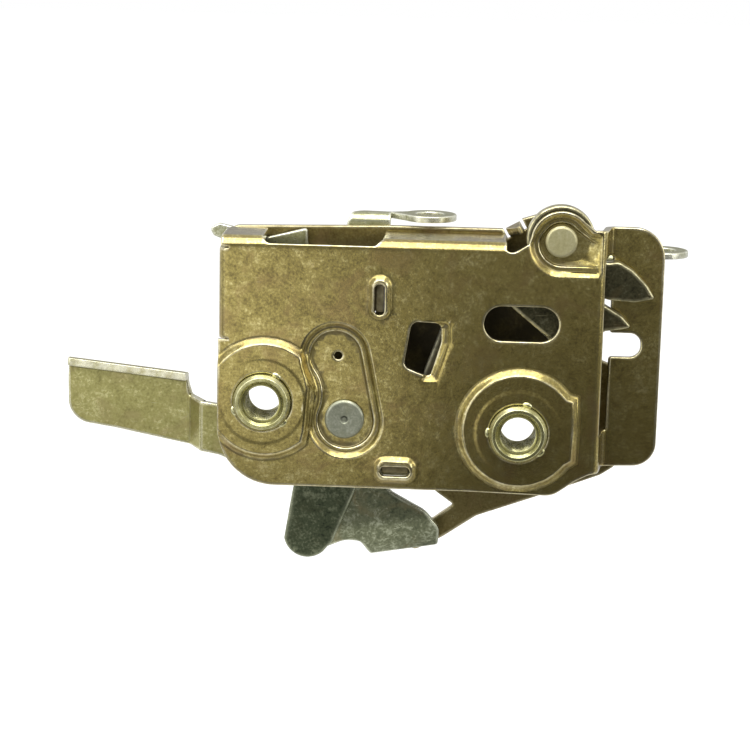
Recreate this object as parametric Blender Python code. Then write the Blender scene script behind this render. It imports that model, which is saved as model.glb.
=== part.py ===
"""Car door lock: a pressed steel housing with a rotary fork, its pawl and the levers that work them.

Metres, +X right, +Z up, +Y from the door's shut face into the lock. The origin is the axis of the
right threaded bush on the mounting plane, which is the face of the two raised bosses.
"""

import math

import bmesh
import bpy
from mathutils import Matrix, Vector
from mathutils.geometry import delaunay_2d_cdt

# Sheets and clearances
SHEET = 0.0016
REAR_SHEET = 0.0020
LEVER_SHEET = 0.0020
GAP = 0.0003
SLIDE_GAP = 0.0003

# Threaded bushes, the right one at the origin
BUSH_PITCH = 0.06456
BUSH_RISE = 0.00612
BUSH_R = 0.0073
BORE_R = 0.00433
MOUTH_R = 0.00595
COLLAR_PROUD = 0.0025
BUSH_REACH = 0.0105
BUSH_FLANGE_R = 0.0100
BUSH_FLANGE = 0.0016
STAKE_R = 0.0015

# Front plate
PLATE_LEFT = -0.0760
PLATE_BOTTOM = -0.0159
PLATE_TOP = 0.0479
PLATE_CORNER = 0.0145
HOUSING_DEPTH = 0.0177
BEND_TOP_R = 0.0029
BEND_SIDE_R = 0.0024
LEFT_FLANGE_LOW = 0.0223
RELIEF = 0.0008

# Raised bosses and recessed pockets of the front plate
BOSS_RISE = 0.0015
LEFT_BOSS_R = 0.0156
RIGHT_BOSS_R = 0.0158
BOSS_RAMP = 0.0024
SEAT_R = 0.0097
SEAT_DEPTH = 0.00025
POCKET_DEPTH = 0.0018
POCKET_RAMP = 0.0026
LIP_RISE = 0.0005
TAB_SLOT_R = 0.0005
TAB_CHAMFER = 0.0004

# Waisted pocket over the lever pivot
BEAN_TOP_X = -0.0464
BEAN_TOP_Z = 0.0179
BEAN_TOP_R = 0.00915
BEAN_LOW_R = 0.0098
BEAN_WAIST_R = 0.0080
PIN_HOLE_R = 0.0010

# Openings of the front plate
OBLONG_X = -0.0001
OBLONG_Z = 0.0276
OBLONG_LONG = 0.0186
OBLONG_HIGH = 0.0088
WINDOW_X = -0.0231
WINDOW_Z = 0.0207
SLOT_LEFT = -0.0650
SLOT_RIGHT = -0.0350
SLOT_LOW = 0.0463

# Striker plate at the right
JOG_X = 0.0184
JOG_TURN = math.radians(80)
JOG_INNER_R = 0.0010
STRIKER_PLATE_RIGHT = 0.0355
STRIKER_PLATE_TOP = 0.0515
STRIKER_PLATE_LOW = -0.0097
STRIKER_SLOT_Z = 0.0215
STRIKER_SLOT_HIGH = 0.0062
STRIKER_SLOT_END = 0.0304
JAW_WINDOW_LOW = -0.0007
JAW_WINDOW_TOP = 0.0444

# Fork and its pivot
FORK_X = 0.0091
FORK_Z = 0.0485
FORK_HUB_R = 0.0086
FORK_RIM_R = 0.0257
FORK_THICK = 0.0040
FORK_PIN_R = 0.0050
FORK_HEAD_R = 0.0040
LOBE_R = 0.0076
FORK_SWEEP_R = 0.0273

# Pawl on the right bush
PAWL_HUB_R = 0.0113
PAWL_THICK = 0.0040
PAWL_CLEAR = 0.0014
CLIP_R = 0.0092
CLIP_THICK = 0.0008

# Levers on the lower pivot
LEVER_X = -0.0439
LEVER_Z = 0.0017
LEVER_HUB_R = 0.0080
LEVER_PIN_R = 0.0048
LEVER_HEAD_R = 0.0050
PADDLE_LEFT = -0.1154
PADDLE_BACK = 0.0040
PADDLE_FLANGE = 0.0038
LIP_R = 0.0150
LIP_TURN = math.radians(44)

# Locking levers behind the rear plate
SILL_X = -0.0520
SILL_Z = 0.0360
KEY_X = 0.0040
KEY_Z = 0.0360
ROD_LEVER = 0.0016
SHAFT_R = 0.0035
CAM_BACK = 0.0012
ROD_EYE_R = 0.0069
ROD_HOLE_R = 0.00345
SILL_EYE_REACH = 0.0280
SILL_EYE_BACK = 0.0023
SILL_TAB_RISE = 0.0160
KEY_EYE_REACH = 0.0322
KEY_EYE_BACK = 0.0082
KEY_TAB_RISE = 0.0075

# Tongues and gusset folded forward out of the rear plate
LUG_BEND_R = 0.0008
LANCE_GAP = 0.0008
TONGUE_HALF = 0.0060
TAB_SINK = 0.0007
GUSSET_LONG = 0.0039
GUSSET_LEAN = math.radians(29)

# Rivets, washer and springs; each coil fills a share of the room it has
NECK_R = 0.0030
RIVET_HEAD = 0.0010
WASHER_THICK = 0.0006
FORK_TURNS = 3.0
FORK_FILL = 0.66
LEVER_TURNS = 2.5
LEVER_FILL = 1.0
WIRE_SHARE = 0.857
FINE_WIRE = 0.0008

# Layers from front to back
FIELD_Y = BOSS_RISE
FLOOR_Y = FIELD_Y + POCKET_DEPTH
FLOOR_BACK = FLOOR_Y + SHEET
PLATE_BACK = FIELD_Y + SHEET
FORK_Y = FLOOR_BACK + SLIDE_GAP
PAWL_Y = FORK_Y
RELEASE_Y = FORK_Y
OUTSIDE_Y = RELEASE_Y + LEVER_SHEET + SLIDE_GAP
INSIDE_Y = OUTSIDE_Y + LEVER_SHEET + SLIDE_GAP
WASHER_Y = INSIDE_Y + LEVER_SHEET + SLIDE_GAP
REAR_Y = HOUSING_DEPTH + GAP
REAR_BACK = REAR_Y + REAR_SHEET
ROD_Y = REAR_BACK + SLIDE_GAP
STRIKER_PLATE_Y = FORK_Y + FORK_THICK + 2 * SLIDE_GAP

ARC_STEP = math.radians(15)
ROUND_SIDES = 32


def arc(cx, cz, r, start, end, step=ARC_STEP):
    """Points of an arc from start to end in degrees, both ends included."""
    a0, a1 = math.radians(start), math.radians(end)
    count = max(1, math.ceil(abs(a1 - a0) / step))
    angles = [a0 + (a1 - a0) * i / count for i in range(count + 1)]
    return [(cx + r * math.cos(a), cz + r * math.sin(a)) for a in angles]


def circle(cx, cz, r, sides=ROUND_SIDES):
    """A closed circle, counter-clockwise."""
    turns = [2 * math.pi * i / sides for i in range(sides)]
    return [(cx + r * math.cos(a), cz + r * math.sin(a)) for a in turns]


def rounded(corners):
    """A closed outline whose corners (x, z) stay sharp and corners (x, z, r) become arcs."""
    points = []
    for i, corner in enumerate(corners):
        here = Vector(corner[:2])
        if len(corner) == 2:
            points.append(tuple(here))
            continue
        before = Vector(corners[i - 1][:2]) - here
        after = Vector(corners[(i + 1) % len(corners)][:2]) - here
        half = before.angle(after) / 2
        reach = min(corner[2] / math.tan(half), 0.49 * before.length, 0.49 * after.length)
        radius = reach * math.tan(half)
        start = here + before.normalized() * reach
        end = here + after.normalized() * reach
        middle = here + (before.normalized() + after.normalized()).normalized() * radius / math.sin(half)
        first, last = start - middle, end - middle
        turn = first.angle_signed(last)
        count = max(1, math.ceil(abs(turn) / ARC_STEP))
        for k in range(count + 1):
            spoke = first.copy()
            spoke.rotate(Matrix.Rotation(-turn * k / count, 2))
            points.append(tuple(middle + spoke))
    return points


def stadium(cx, cz, wide, high):
    """A slot with full-round ends, lying along its longer side."""
    r = min(wide, high) / 2
    run = abs(wide - high) / 2
    if wide > high:
        return arc(cx + run, cz, r, -90, 90) + arc(cx - run, cz, r, 90, 270)
    return arc(cx, cz + run, r, 0, 180) + arc(cx, cz - run, r, 180, 360)


def soft_box(cx, cz, wide, high, r):
    """A rectangle with rounded corners."""
    x, z = wide / 2, high / 2
    return rounded([(cx + x, cz + z, r), (cx - x, cz + z, r), (cx - x, cz - z, r), (cx + x, cz - z, r)])


def inset(outline, distance):
    """The outline moved inwards (outwards where distance is negative)."""
    moved = []
    for i, point in enumerate(outline):
        here = Vector(point)
        before = here - Vector(outline[i - 1])
        after = Vector(outline[(i + 1) % len(outline)]) - here
        if before.length < 1e-7 or after.length < 1e-7:
            continue
        n0 = Vector((-before.y, before.x)).normalized()
        n1 = Vector((-after.y, after.x)).normalized()
        mean = (n0 + n1).normalized()
        moved.append(tuple(here + mean * distance / max(mean.dot(n0), 0.5)))
    return moved


def depth_inside(point, outline):
    """Distance of a point to the outline, positive inside and negative outside."""
    x, z = point
    best = 1.0
    inside = False
    for i, (bx, bz) in enumerate(outline):
        ax, az = outline[i - 1]
        dx, dz = bx - ax, bz - az
        length = dx * dx + dz * dz
        t = 0.0 if length == 0 else max(0.0, min(1.0, ((x - ax) * dx + (z - az) * dz) / length))
        best = min(best, math.hypot(x - ax - t * dx, z - az - t * dz))
        if (az > z) != (bz > z) and x < ax + dx * (z - az) / dz:
            inside = not inside
    return best if inside else -best


def two_circles(ax, az, ra, bx, bz, rb, waist):
    """Outline round two circles, straight on the right and waisted by an arc on the left."""
    ab = Vector((bx - ax, bz - az))
    lean = math.atan2(ab.y, ab.x)
    tangent = lean + math.acos((ra - rb) / ab.length)
    tangent_deg = math.degrees(tangent)
    along = ab.normalized()
    left = Vector((along.y, -along.x))
    reach_a, reach_b = ra + waist, rb + waist
    run = (reach_a**2 - reach_b**2 + ab.length**2) / (2 * ab.length)
    hollow = Vector((ax, az)) + along * run + left * math.sqrt(reach_a**2 - run**2)
    to_a = math.degrees(math.atan2(az - hollow.y, ax - hollow.x))
    to_b = math.degrees(math.atan2(bz - hollow.y, bx - hollow.x))
    top = arc(ax, az, ra, tangent_deg, to_a + 180)
    side = arc(hollow.x, hollow.y, waist, to_a, to_b)
    low = arc(bx, bz, rb, to_b + 180, tangent_deg + 360)
    return top + side[1:-1] + low


class Press:
    """A form pressed into a sheet: its rim, the width of its slope and its depth into +Y."""

    def __init__(self, rim, ramp, depth, limit=None, steps=(0.0, 0.3, 0.7, 1.0)):
        self.rim = rim
        self.steps = steps
        self.ramp = ramp
        self.depth = depth
        self.limit = limit

    def rings(self):
        return [inset(self.rim, self.ramp * step) for step in self.steps]

    def at(self, point):
        t = max(0.0, min(1.0, depth_inside(point, self.rim) / self.ramp))
        fade = 1.0
        if self.limit is not None:
            fade = max(0.0, min(1.0, (self.limit - point[0]) / self.ramp))
        return self.depth * t * t * (3 - 2 * t) * fade


class Fold:
    """Bends a flat blank past a line: runs is a list of (length, turn), turn positive towards +Y."""

    def __init__(self, start, direction, runs, reach, where=None, slit=None):
        self.start = Vector(start)
        self.normal = Vector(direction).normalized()
        self.runs = runs
        self.reach = reach
        self.where = where or (lambda u, v: True)
        self.slit = slit

    def place(self, s, w):
        """Distance out and depth of a point s past the line and w into the sheet."""
        a, b, heading = 0.0, 0.0, 0.0
        for length, turn in self.runs:
            part = min(s, length)
            angle = turn * part / length
            if turn:
                radius = length / turn
                a += radius * (math.sin(heading + angle) - math.sin(heading))
                b += radius * (math.cos(heading) - math.cos(heading + angle))
            else:
                a += part * math.cos(heading)
                b += part * math.sin(heading)
            heading += angle
            s -= part
            if s <= 0 and self.slit is None:
                break
        a += s * math.cos(heading)
        b += s * math.sin(heading)
        return a - w * math.sin(heading), b + w * math.cos(heading)

    def bend(self, u, v, w):
        s = (Vector((u, v)) - self.start).dot(self.normal)
        beyond = self.slit is not None and self.slit(u, v)
        if (s <= 0 and not beyond) or not self.where(u, v):
            return u, v, w
        if beyond:
            total = sum(length for length, _ in self.runs)
            a0, b0 = self.place(total, w)
            heading = sum(turn for _, turn in self.runs)
            out = a0 + (s - total) * math.cos(heading)
            depth = b0 + (s - total) * math.sin(heading)
        else:
            out, depth = self.place(s, w) if self.slit is None else self.place_within(s, w)
        return u + self.normal.x * (out - s), v + self.normal.y * (out - s), depth

    def place_within(self, s, w):
        """As place, for a fold with a slit beside it."""
        plain = Fold(self.start, self.normal, self.runs, self.reach)
        return plain.place(s, w)

    def guides(self):
        """Lines across the blank where the bend starts, turns and ends."""
        along = Vector((-self.normal.y, self.normal.x))
        lines = []
        s = 0.0
        marks = [0.0]
        for length, turn in self.runs:
            parts = max(1, round(abs(turn) / math.radians(18)))
            marks += [s + length * (i + 1) / parts for i in range(parts)]
            s += length
        for mark in marks:
            foot = self.start + self.normal * mark
            lines.append([tuple(foot + along * t) for t in self.reach])
        return lines


def sheet_mesh(outline, holes, thick, front_y, presses=(), folds=(), extra=()):
    """A closed sheet: the blank is triangulated flat, pressed, folded and given its thickness."""
    points, edges = [], []

    def add(loop, closed=True):
        first = len(points)
        points.extend(Vector(p) for p in loop)
        count = len(loop)
        last = count if closed else count - 1
        edges.extend((first + i, first + (i + 1) % count) for i in range(last))

    add(outline)
    for hole in holes:
        add(hole)
    for press in presses:
        for ring in press.rings():
            add(ring)
    for fold in folds:
        for line in fold.guides():
            add(line, closed=False)
    for line in extra:
        add(line, closed=False)
    flat, _, triangles, *_ = delaunay_2d_cdt(points, edges, [], 0, 1e-7)
    kept = []
    for a, b, c in triangles:
        centre = (flat[a] + flat[b] + flat[c]) / 3
        if (flat[b] - flat[a]).cross(flat[c] - flat[a]) < 1e-14:
            continue
        if depth_inside(centre, outline) <= 0:
            continue
        if any(depth_inside(centre, hole) > 0 for hole in holes):
            continue
        kept.append((a, b, c))
    used = sorted({i for triangle in kept for i in triangle})
    number = {old: new for new, old in enumerate(used)}
    front, back = [], []
    for i in used:
        u, v = flat[i]
        pressed = sum(press.at((u, v)) for press in presses)
        for skin, depth in ((front, pressed), (back, pressed + thick)):
            x, z, y = u, v, depth
            for fold in folds:
                x, z, y = fold.bend(x, z, y)
            skin.append((x, y + front_y, z))
    count = len(used)
    faces = []
    borders = {}
    for a, b, c in kept:
        a, b, c = number[a], number[b], number[c]
        faces += [(a, b, c), (a + count, c + count, b + count)]
        for edge in ((a, b), (b, c), (c, a)):
            borders[edge] = True
    for a, b in borders:
        if (b, a) not in borders:
            faces.append((b, a, a + count, b + count))
    mesh = bpy.data.meshes.new("sheet")
    mesh.from_pydata(front + back, [], faces)
    mesh.update()
    return mesh


def turned_mesh(profile, sides=ROUND_SIDES):
    """A turned piece about the Y axis; profile is a closed list of (r, y)."""
    bm = bmesh.new()
    ring = [bm.verts.new((r, y, 0)) for r, y in profile]
    loop = [bm.edges.new((ring[i - 1], ring[i])) for i in range(len(ring))]
    bmesh.ops.spin(
        bm, geom=ring + loop, cent=(0, 0, 0), axis=(0, 1, 0), angle=2 * math.pi, steps=sides,
        use_merge=True,
    )
    bmesh.ops.remove_doubles(bm, verts=bm.verts, dist=1e-6)
    bmesh.ops.dissolve_degenerate(bm, edges=bm.edges, dist=1e-6)
    bmesh.ops.recalc_face_normals(bm, faces=bm.faces)
    mesh = bpy.data.meshes.new("turned")
    bm.to_mesh(mesh)
    bm.free()
    return mesh


def material(name, colour, roughness, metallic=1.0):
    """A Principled material of one colour."""
    made = bpy.data.materials.new(name)
    made.use_nodes = True
    shader = made.node_tree.nodes["Principled BSDF"]
    shader.inputs["Base Color"].default_value = (*colour, 1.0)
    shader.inputs["Roughness"].default_value = roughness
    shader.inputs["Metallic"].default_value = metallic
    return made


def put(name, mesh, finish, pivot=(0.0, 0.0, 0.0)):
    """Adds an object whose origin is its pivot; the mesh is given in the lock's own frame."""
    mesh.transform(Matrix.Translation(-Vector(pivot)))
    piece = bpy.data.objects.new(name, mesh)
    piece.location = pivot
    bpy.context.scene.collection.objects.link(piece)
    mesh.materials.append(finish)
    mesh.shade_smooth()
    mesh.set_sharp_from_angle(angle=math.radians(30))
    return piece


def at(mesh, x, z, y=0.0):
    """The mesh moved to a place in the lock's frame."""
    mesh.transform(Matrix.Translation((x, y, z)))
    return mesh


def left_bush_place():
    return -BUSH_PITCH, BUSH_RISE


def front_plate(finish):
    """The pressed housing: bosses, pockets, folded top and side flanges and the striker plate."""
    left_x, left_z = left_bush_place()
    bend_top = PLATE_TOP - BEND_TOP_R
    top_arc = BEND_TOP_R * math.pi / 2
    top_end = bend_top + top_arc + HOUSING_DEPTH - FIELD_Y - BEND_TOP_R
    bend_left = PLATE_LEFT + BEND_SIDE_R
    side_arc = BEND_SIDE_R * math.pi / 2
    left_end = bend_left - side_arc - (HOUSING_DEPTH - FIELD_Y - BEND_SIDE_R)
    jog_arc = BEND_SIDE_R * JOG_TURN
    jog_back = JOG_INNER_R * JOG_TURN
    jog_curves = (BEND_SIDE_R + JOG_INNER_R) * (1 - math.cos(JOG_TURN))
    jog_straight = (STRIKER_PLATE_Y - FIELD_Y - jog_curves) / math.sin(JOG_TURN)
    jog_runs = [(jog_arc, JOG_TURN), (jog_straight, 0.0), (jog_back, -JOG_TURN)]
    jog = Fold((JOG_X, 0), (1, 0), jog_runs, (-0.02, 0.06), where=lambda u, v: u > JOG_X)
    jog_length = jog_arc + jog_straight + jog_back
    jog_out = jog.place(jog_length, 0.0)[0]

    def blank(x):
        """Blank position of a point of the striker plate that ends up at x."""
        return JOG_X + jog_length + (x - JOG_X - jog_out)

    notch_left = FORK_X - 0.0134
    notch_x = FORK_X - 0.0113
    bulge_x = 0.0092
    outline = [(PLATE_LEFT, LEFT_FLANGE_LOW - RELIEF)]
    outline += [(PLATE_LEFT, PLATE_BOTTOM, PLATE_CORNER)]
    outline += [(bulge_x - 0.0220, PLATE_BOTTOM, 0.02), (bulge_x, PLATE_BOTTOM - 0.0005, 0.006)]
    outline += [(0.0146, -0.0125, 0.004), (JOG_X, STRIKER_PLATE_LOW - 0.0008, 0.004)]
    outline += [(blank(STRIKER_PLATE_RIGHT), STRIKER_PLATE_LOW, 0.006)]
    outline += [(blank(STRIKER_PLATE_RIGHT), STRIKER_PLATE_TOP, 0.0078)]
    outline += [(FORK_X + 0.0088, STRIKER_PLATE_TOP, 0.002)]
    outline = rounded(outline)
    outline += arc(FORK_X, FORK_Z, LOBE_R, 40, 172)
    corner = [
        (FORK_X - 0.0081, FORK_Z - 0.0008),
        (notch_x, bend_top + 0.0006, 0.0024),
        (notch_left, bend_top + 0.0007, 0.0010),
        (notch_left, top_end, 0.0015),
        (SLOT_RIGHT, top_end, 0.0010),
        (SLOT_RIGHT, SLOT_LOW + 0.0020, 0.0010),
        (SLOT_RIGHT - 0.0014, SLOT_LOW, 0.0010),
        (SLOT_LEFT + 0.0014, SLOT_LOW, 0.0010),
        (SLOT_LEFT, SLOT_LOW + 0.0020, 0.0010),
        (SLOT_LEFT, top_end, 0.0010),
        (PLATE_LEFT + 0.0005, top_end, 0.0020),
        (PLATE_LEFT + 0.0005, bend_top + RELIEF / 4),
        (bend_left, bend_top - RELIEF / 4),
        (bend_left, bend_top - RELIEF),
        (left_end, bend_top - RELIEF, 0.0020),
        (left_end, LEFT_FLANGE_LOW, 0.0020),
        (bend_left + RELIEF / 4, LEFT_FLANGE_LOW),
        (bend_left + RELIEF / 4, LEFT_FLANGE_LOW - RELIEF),
    ]
    shaped = rounded([outline[-1]] + corner + [outline[0]])
    outline += shaped[1:-1]

    bean = two_circles(
        BEAN_TOP_X, BEAN_TOP_Z, BEAN_TOP_R, LEVER_X + 0.0003, LEVER_Z - 0.0005, BEAN_LOW_R, BEAN_WAIST_R
    )
    left_boss = arc(left_x, left_z, LEFT_BOSS_R, 48, 312) + [(LEVER_X - 0.0091, left_z - 0.0072)]
    left_boss += [(LEVER_X - 0.0082, left_z + 0.004), (LEVER_X - 0.0098, left_z + 0.0092)]
    right_boss = arc(0, 0, RIGHT_BOSS_R, 38, 323)
    right_boss += [(JOG_X - 0.0036, -0.0081), (JOG_X - 0.0034, 0.0), (JOG_X - 0.0034, 0.0093)]
    pocket = arc(FORK_X, FORK_Z, LOBE_R + 0.0002, 90, 268)
    pocket += [(JOG_X + 0.006, FORK_Z - LOBE_R - 0.0001), (JOG_X + 0.006, STRIKER_PLATE_TOP + 0.0002)]
    pocket += [(FORK_X + 0.0088, STRIKER_PLATE_TOP + 0.0002)] + arc(FORK_X, FORK_Z, LOBE_R + 0.0002, 42, 80)
    window = rounded([
        (WINDOW_X - 0.0043, WINDOW_Z + 0.0068, 0.0010),
        (WINDOW_X - 0.0061, WINDOW_Z - 0.0048, 0.0010),
        (WINDOW_X + 0.0017, WINDOW_Z - 0.0078, 0.0008),
        (WINDOW_X + 0.0048, WINDOW_Z + 0.0016, 0.0020),
        (WINDOW_X + 0.0046, WINDOW_Z + 0.0062, 0.0014),
    ])
    rim = rounded([
        (WINDOW_X + 0.0006, WINDOW_Z + 0.0072, 0.001),
        (WINDOW_X - 0.0002, WINDOW_Z - 0.0090, 0.001),
        (WINDOW_X + 0.0026, WINDOW_Z - 0.0092, 0.0012),
        (WINDOW_X + 0.0062, WINDOW_Z + 0.0012, 0.0024),
        (WINDOW_X + 0.0060, WINDOW_Z + 0.0072, 0.002),
    ])
    slots = tab_slots()
    holes = [
        circle(0, 0, BUSH_R + GAP),
        circle(left_x, left_z, BUSH_R + GAP),
        circle(FORK_X, FORK_Z, NECK_R + GAP, 24),
        circle(LEVER_X, LEVER_Z, NECK_R + GAP, 24),
        circle(BEAN_TOP_X + 0.0006, BEAN_TOP_Z, PIN_HOLE_R, 12),
        stadium(OBLONG_X, OBLONG_Z, OBLONG_LONG, OBLONG_HIGH),
        window,
        jaw_window(blank),
    ] + [soft_box(*slot, TAB_SLOT_R) for slot in slots]
    presses = [
        Press(left_boss, BOSS_RAMP, -BOSS_RISE),
        Press(right_boss, BOSS_RAMP, -BOSS_RISE),
        Press(circle(left_x, left_z, SEAT_R), 0.0005, SEAT_DEPTH, steps=(0.0, 1.0)),
        Press(circle(0, 0, SEAT_R), 0.0005, SEAT_DEPTH, steps=(0.0, 1.0)),
        Press(bean, POCKET_RAMP, POCKET_DEPTH),
        Press(pocket, POCKET_RAMP, POCKET_DEPTH, limit=JOG_X + 0.0010),
        Press(rim, 0.0012, -0.0006, steps=(0.0, 1.0)),
    ]
    for x, z, wide, high in slots:
        rim = soft_box(x, z, wide + 0.0026, high + 0.0026, TAB_SLOT_R + 0.0012)
        presses.append(Press(rim, 0.0011, -LIP_RISE, steps=(0.0, 1.0)))
    folds = [
        Fold((0, bend_top), (0, 1), [(top_arc, math.pi / 2)], (-notch_left, -PLATE_LEFT),
             where=lambda u, v: u < notch_x and v > bend_top),
        Fold((bend_left, 0), (-1, 0), [(side_arc, math.pi / 2)], (-bend_top, -LEFT_FLANGE_LOW + RELIEF),
             where=lambda u, v: LEFT_FLANGE_LOW - RELIEF / 2 < v < bend_top),
        jog,
    ]
    mesh = sheet_mesh(outline, holes, SHEET, FIELD_Y, presses, folds)
    return put("front_plate", mesh, finish)


def tab_slots():
    """Centre and size of the two slots where tabs of the rear plate are staked."""
    return [(-0.0356, 0.0329, 0.0026, 0.0078), (-0.0308, -0.0112, 0.0076, 0.0034)]


def jaw_window(blank):
    """The opening for the fork's jaws, running into the striker slot, in the blank."""
    edge = JOG_X + BEND_SIDE_R * JOG_TURN * 0.75
    inner = blank(JOG_X + 0.0042)
    half = STRIKER_SLOT_HIGH / 2
    end = blank(STRIKER_SLOT_END) - half
    return rounded([
        (edge, JAW_WINDOW_TOP, 0.0006), (edge, JAW_WINDOW_LOW, 0.0006), (inner, JAW_WINDOW_LOW, 0.0006),
        (inner, STRIKER_SLOT_Z - half, 0.0006),
        (end + half, STRIKER_SLOT_Z - half, 0.0028), (end + half, STRIKER_SLOT_Z + half, 0.0028),
        (inner, STRIKER_SLOT_Z + half, 0.0006), (inner, JAW_WINDOW_TOP, 0.0006),
    ])


def bush(name, x, z, finish):
    """A threaded bush staked in its boss, with a flange behind the sheet."""
    seat = SEAT_DEPTH + SHEET + GAP
    chamfer = MOUTH_R - BORE_R
    profile = [
        (MOUTH_R, -COLLAR_PROUD),
        (BUSH_R - 0.0004, -COLLAR_PROUD),
        (BUSH_R, -COLLAR_PROUD + 0.0004),
        (BUSH_R, seat),
        (BUSH_FLANGE_R, seat),
        (BUSH_FLANGE_R, seat + BUSH_FLANGE),
        (BUSH_R, seat + BUSH_FLANGE),
        (BUSH_R, BUSH_REACH - 0.0004),
        (BUSH_R - 0.0004, BUSH_REACH),
        (BORE_R + 0.0004, BUSH_REACH),
        (BORE_R, BUSH_REACH - 0.0004),
        (BORE_R, chamfer - COLLAR_PROUD),
    ]
    return put(name, at(turned_mesh(profile, 36), x, z), finish)


def fork_outline():
    """The fork at rest, open: hub, catch arm, rim and the two jaws."""
    def p(dx, dz, *r):
        return (FORK_X + dx, FORK_Z + dz, *r)
    rim_start, rim_end = -99.6, -62.0
    hub = arc(FORK_X, FORK_Z, FORK_HUB_R, -22, 200)
    arm = rounded([
        hub[-1], p(-0.0111, -0.0099, 0.004), p(-0.0154, -0.0124, 0.003), p(-0.0199, -0.0148, 0.001),
        p(-0.0207, -0.0173, 0.0008), p(-0.0194, -0.0179, 0.0006), p(-0.0169, -0.0149, 0.0012),
        p(-0.0130, -0.0158, 0.0015), p(-0.0109, -0.0180),
    ])
    rim = arc(FORK_X, FORK_Z, FORK_RIM_R, rim_start, rim_end)
    jaws = rounded([
        rim[-1], p(0.0160, -0.0221, 0.003), p(0.0184, -0.0215, 0.0005), p(0.0159, -0.0188, 0.003),
        p(0.0119, -0.0164, 0.002), p(0.0098, -0.0159, 0.0009), p(0.0098, -0.0141, 0.0009),
        p(0.0128, -0.0148, 0.003), p(0.0189, -0.0152, 0.006), p(0.0239, -0.0141, 0.0005),
        p(0.0219, -0.0109, 0.006), p(0.0183, -0.0072, 0.008), p(0.0145, -0.0050, 0.003),
        p(0.0116, -0.0056, 0.003), hub[0],
    ])
    return hub + arm[1:] + rim + jaws[1:-1]


def fork(finish):
    """The rotary fork that takes the striker between its jaws."""
    hole = circle(FORK_X, FORK_Z, FORK_PIN_R + SLIDE_GAP / 2, 32)
    mesh = sheet_mesh(fork_outline(), [hole], FORK_THICK, FORK_Y)
    return put("fork", mesh, finish, (FORK_X, FORK_Y, FORK_Z))


def pawl(finish):
    """The pawl on the right bush; its nose stands just clear of the fork's sweep."""
    clear = FORK_SWEEP_R + PAWL_CLEAR
    hub = arc(0, 0, PAWL_HUB_R, -125, 118)
    near = arc(FORK_X, FORK_Z, clear, -135, -164)
    body = rounded([
        hub[-1], (-0.0100, 0.0180, 0.003), near[0],
    ])
    nose_x, nose_z = near[-1]
    tail = rounded([
        near[-1], (nose_x - 0.0004, nose_z + 0.0026, 0.0008), (nose_x - 0.0026, nose_z + 0.0032, 0.0010),
        (nose_x - 0.0046, nose_z - 0.0010, 0.0030), (-0.0196, 0.0315, 0.0060), (-0.0196, 0.0267, 0.0030),
        (-0.0241, 0.0140, 0.0040), (-0.0249, 0.0058, 0.0010), (-0.0315, 0.0058, 0.0012),
        (-0.0315, 0.0012, 0.0018), (-0.0200, -0.0026, 0.0060), hub[0],
    ])
    outline = hub + body[1:-1] + near + tail[1:-1]
    holes = [circle(0, 0, BUSH_R + SLIDE_GAP / 2, 36), circle(-0.0288, 0.0034, 0.0008, 12)]
    mesh = sheet_mesh(outline, holes, PAWL_THICK, PAWL_Y)
    return put("pawl", mesh, finish, (0, PAWL_Y, 0))


def pawl_clip(finish):
    """The split ring that keeps the pawl on its bush."""
    outer = arc(0, 0, CLIP_R, -60, 240)
    inner = arc(0, 0, BUSH_R + GAP / 2, 240, -60)
    start = PAWL_Y + PAWL_THICK + GAP
    return put("pawl_clip", sheet_mesh(outer + inner, [], CLIP_THICK, start), finish)


def rivet(name, x, z, finish, front_head, pin_r, pin_end, pivot_dimple=0.0):
    """A stepped rivet from the pocket floor to the rear plate."""
    head_front = FLOOR_Y - GAP - RIVET_HEAD
    shoulder = FLOOR_BACK + GAP / 2
    body_end = REAR_Y - GAP
    rear_head = REAR_BACK + GAP
    post_r = NECK_R + 0.0012
    profile = [(0.0, head_front + pivot_dimple)]
    if pivot_dimple:
        profile += [(0.0007, head_front + pivot_dimple), (0.0011, head_front)]
    profile += [
        (front_head - 0.0003, head_front),
        (front_head, head_front + 0.0003),
        (front_head, FLOOR_Y - GAP),
        (NECK_R, FLOOR_Y - GAP),
        (NECK_R, shoulder),
        (pin_r, shoulder),
        (pin_r, pin_end),
        (post_r, pin_end),
        (post_r, body_end),
        (NECK_R, body_end),
        (NECK_R, rear_head),
        (NECK_R + 0.0016, rear_head),
        (NECK_R + 0.0010, rear_head + 0.0009),
        (0.0, rear_head + 0.0009),
    ]
    return put(name, at(turned_mesh(profile, 28), x, z), finish)


def lever_washer(finish):
    """The washer between the levers and their spring."""
    inner, outer = NECK_R + 0.0014, LEVER_HUB_R - 0.001
    end = WASHER_Y + WASHER_THICK
    profile = [(inner, WASHER_Y), (outer, WASHER_Y), (outer, end), (inner, end)]
    return put("lever_washer", at(turned_mesh(profile, 28), LEVER_X, LEVER_Z), finish)


def paddle_line():
    """The paddle's top bend line: a point on it and its outward direction."""
    start, end = Vector((PADDLE_LEFT, 0.0116)), Vector((-0.0841, 0.0084))
    along = (end - start).normalized()
    return start, Vector((-along.y, along.x)), along


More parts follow.
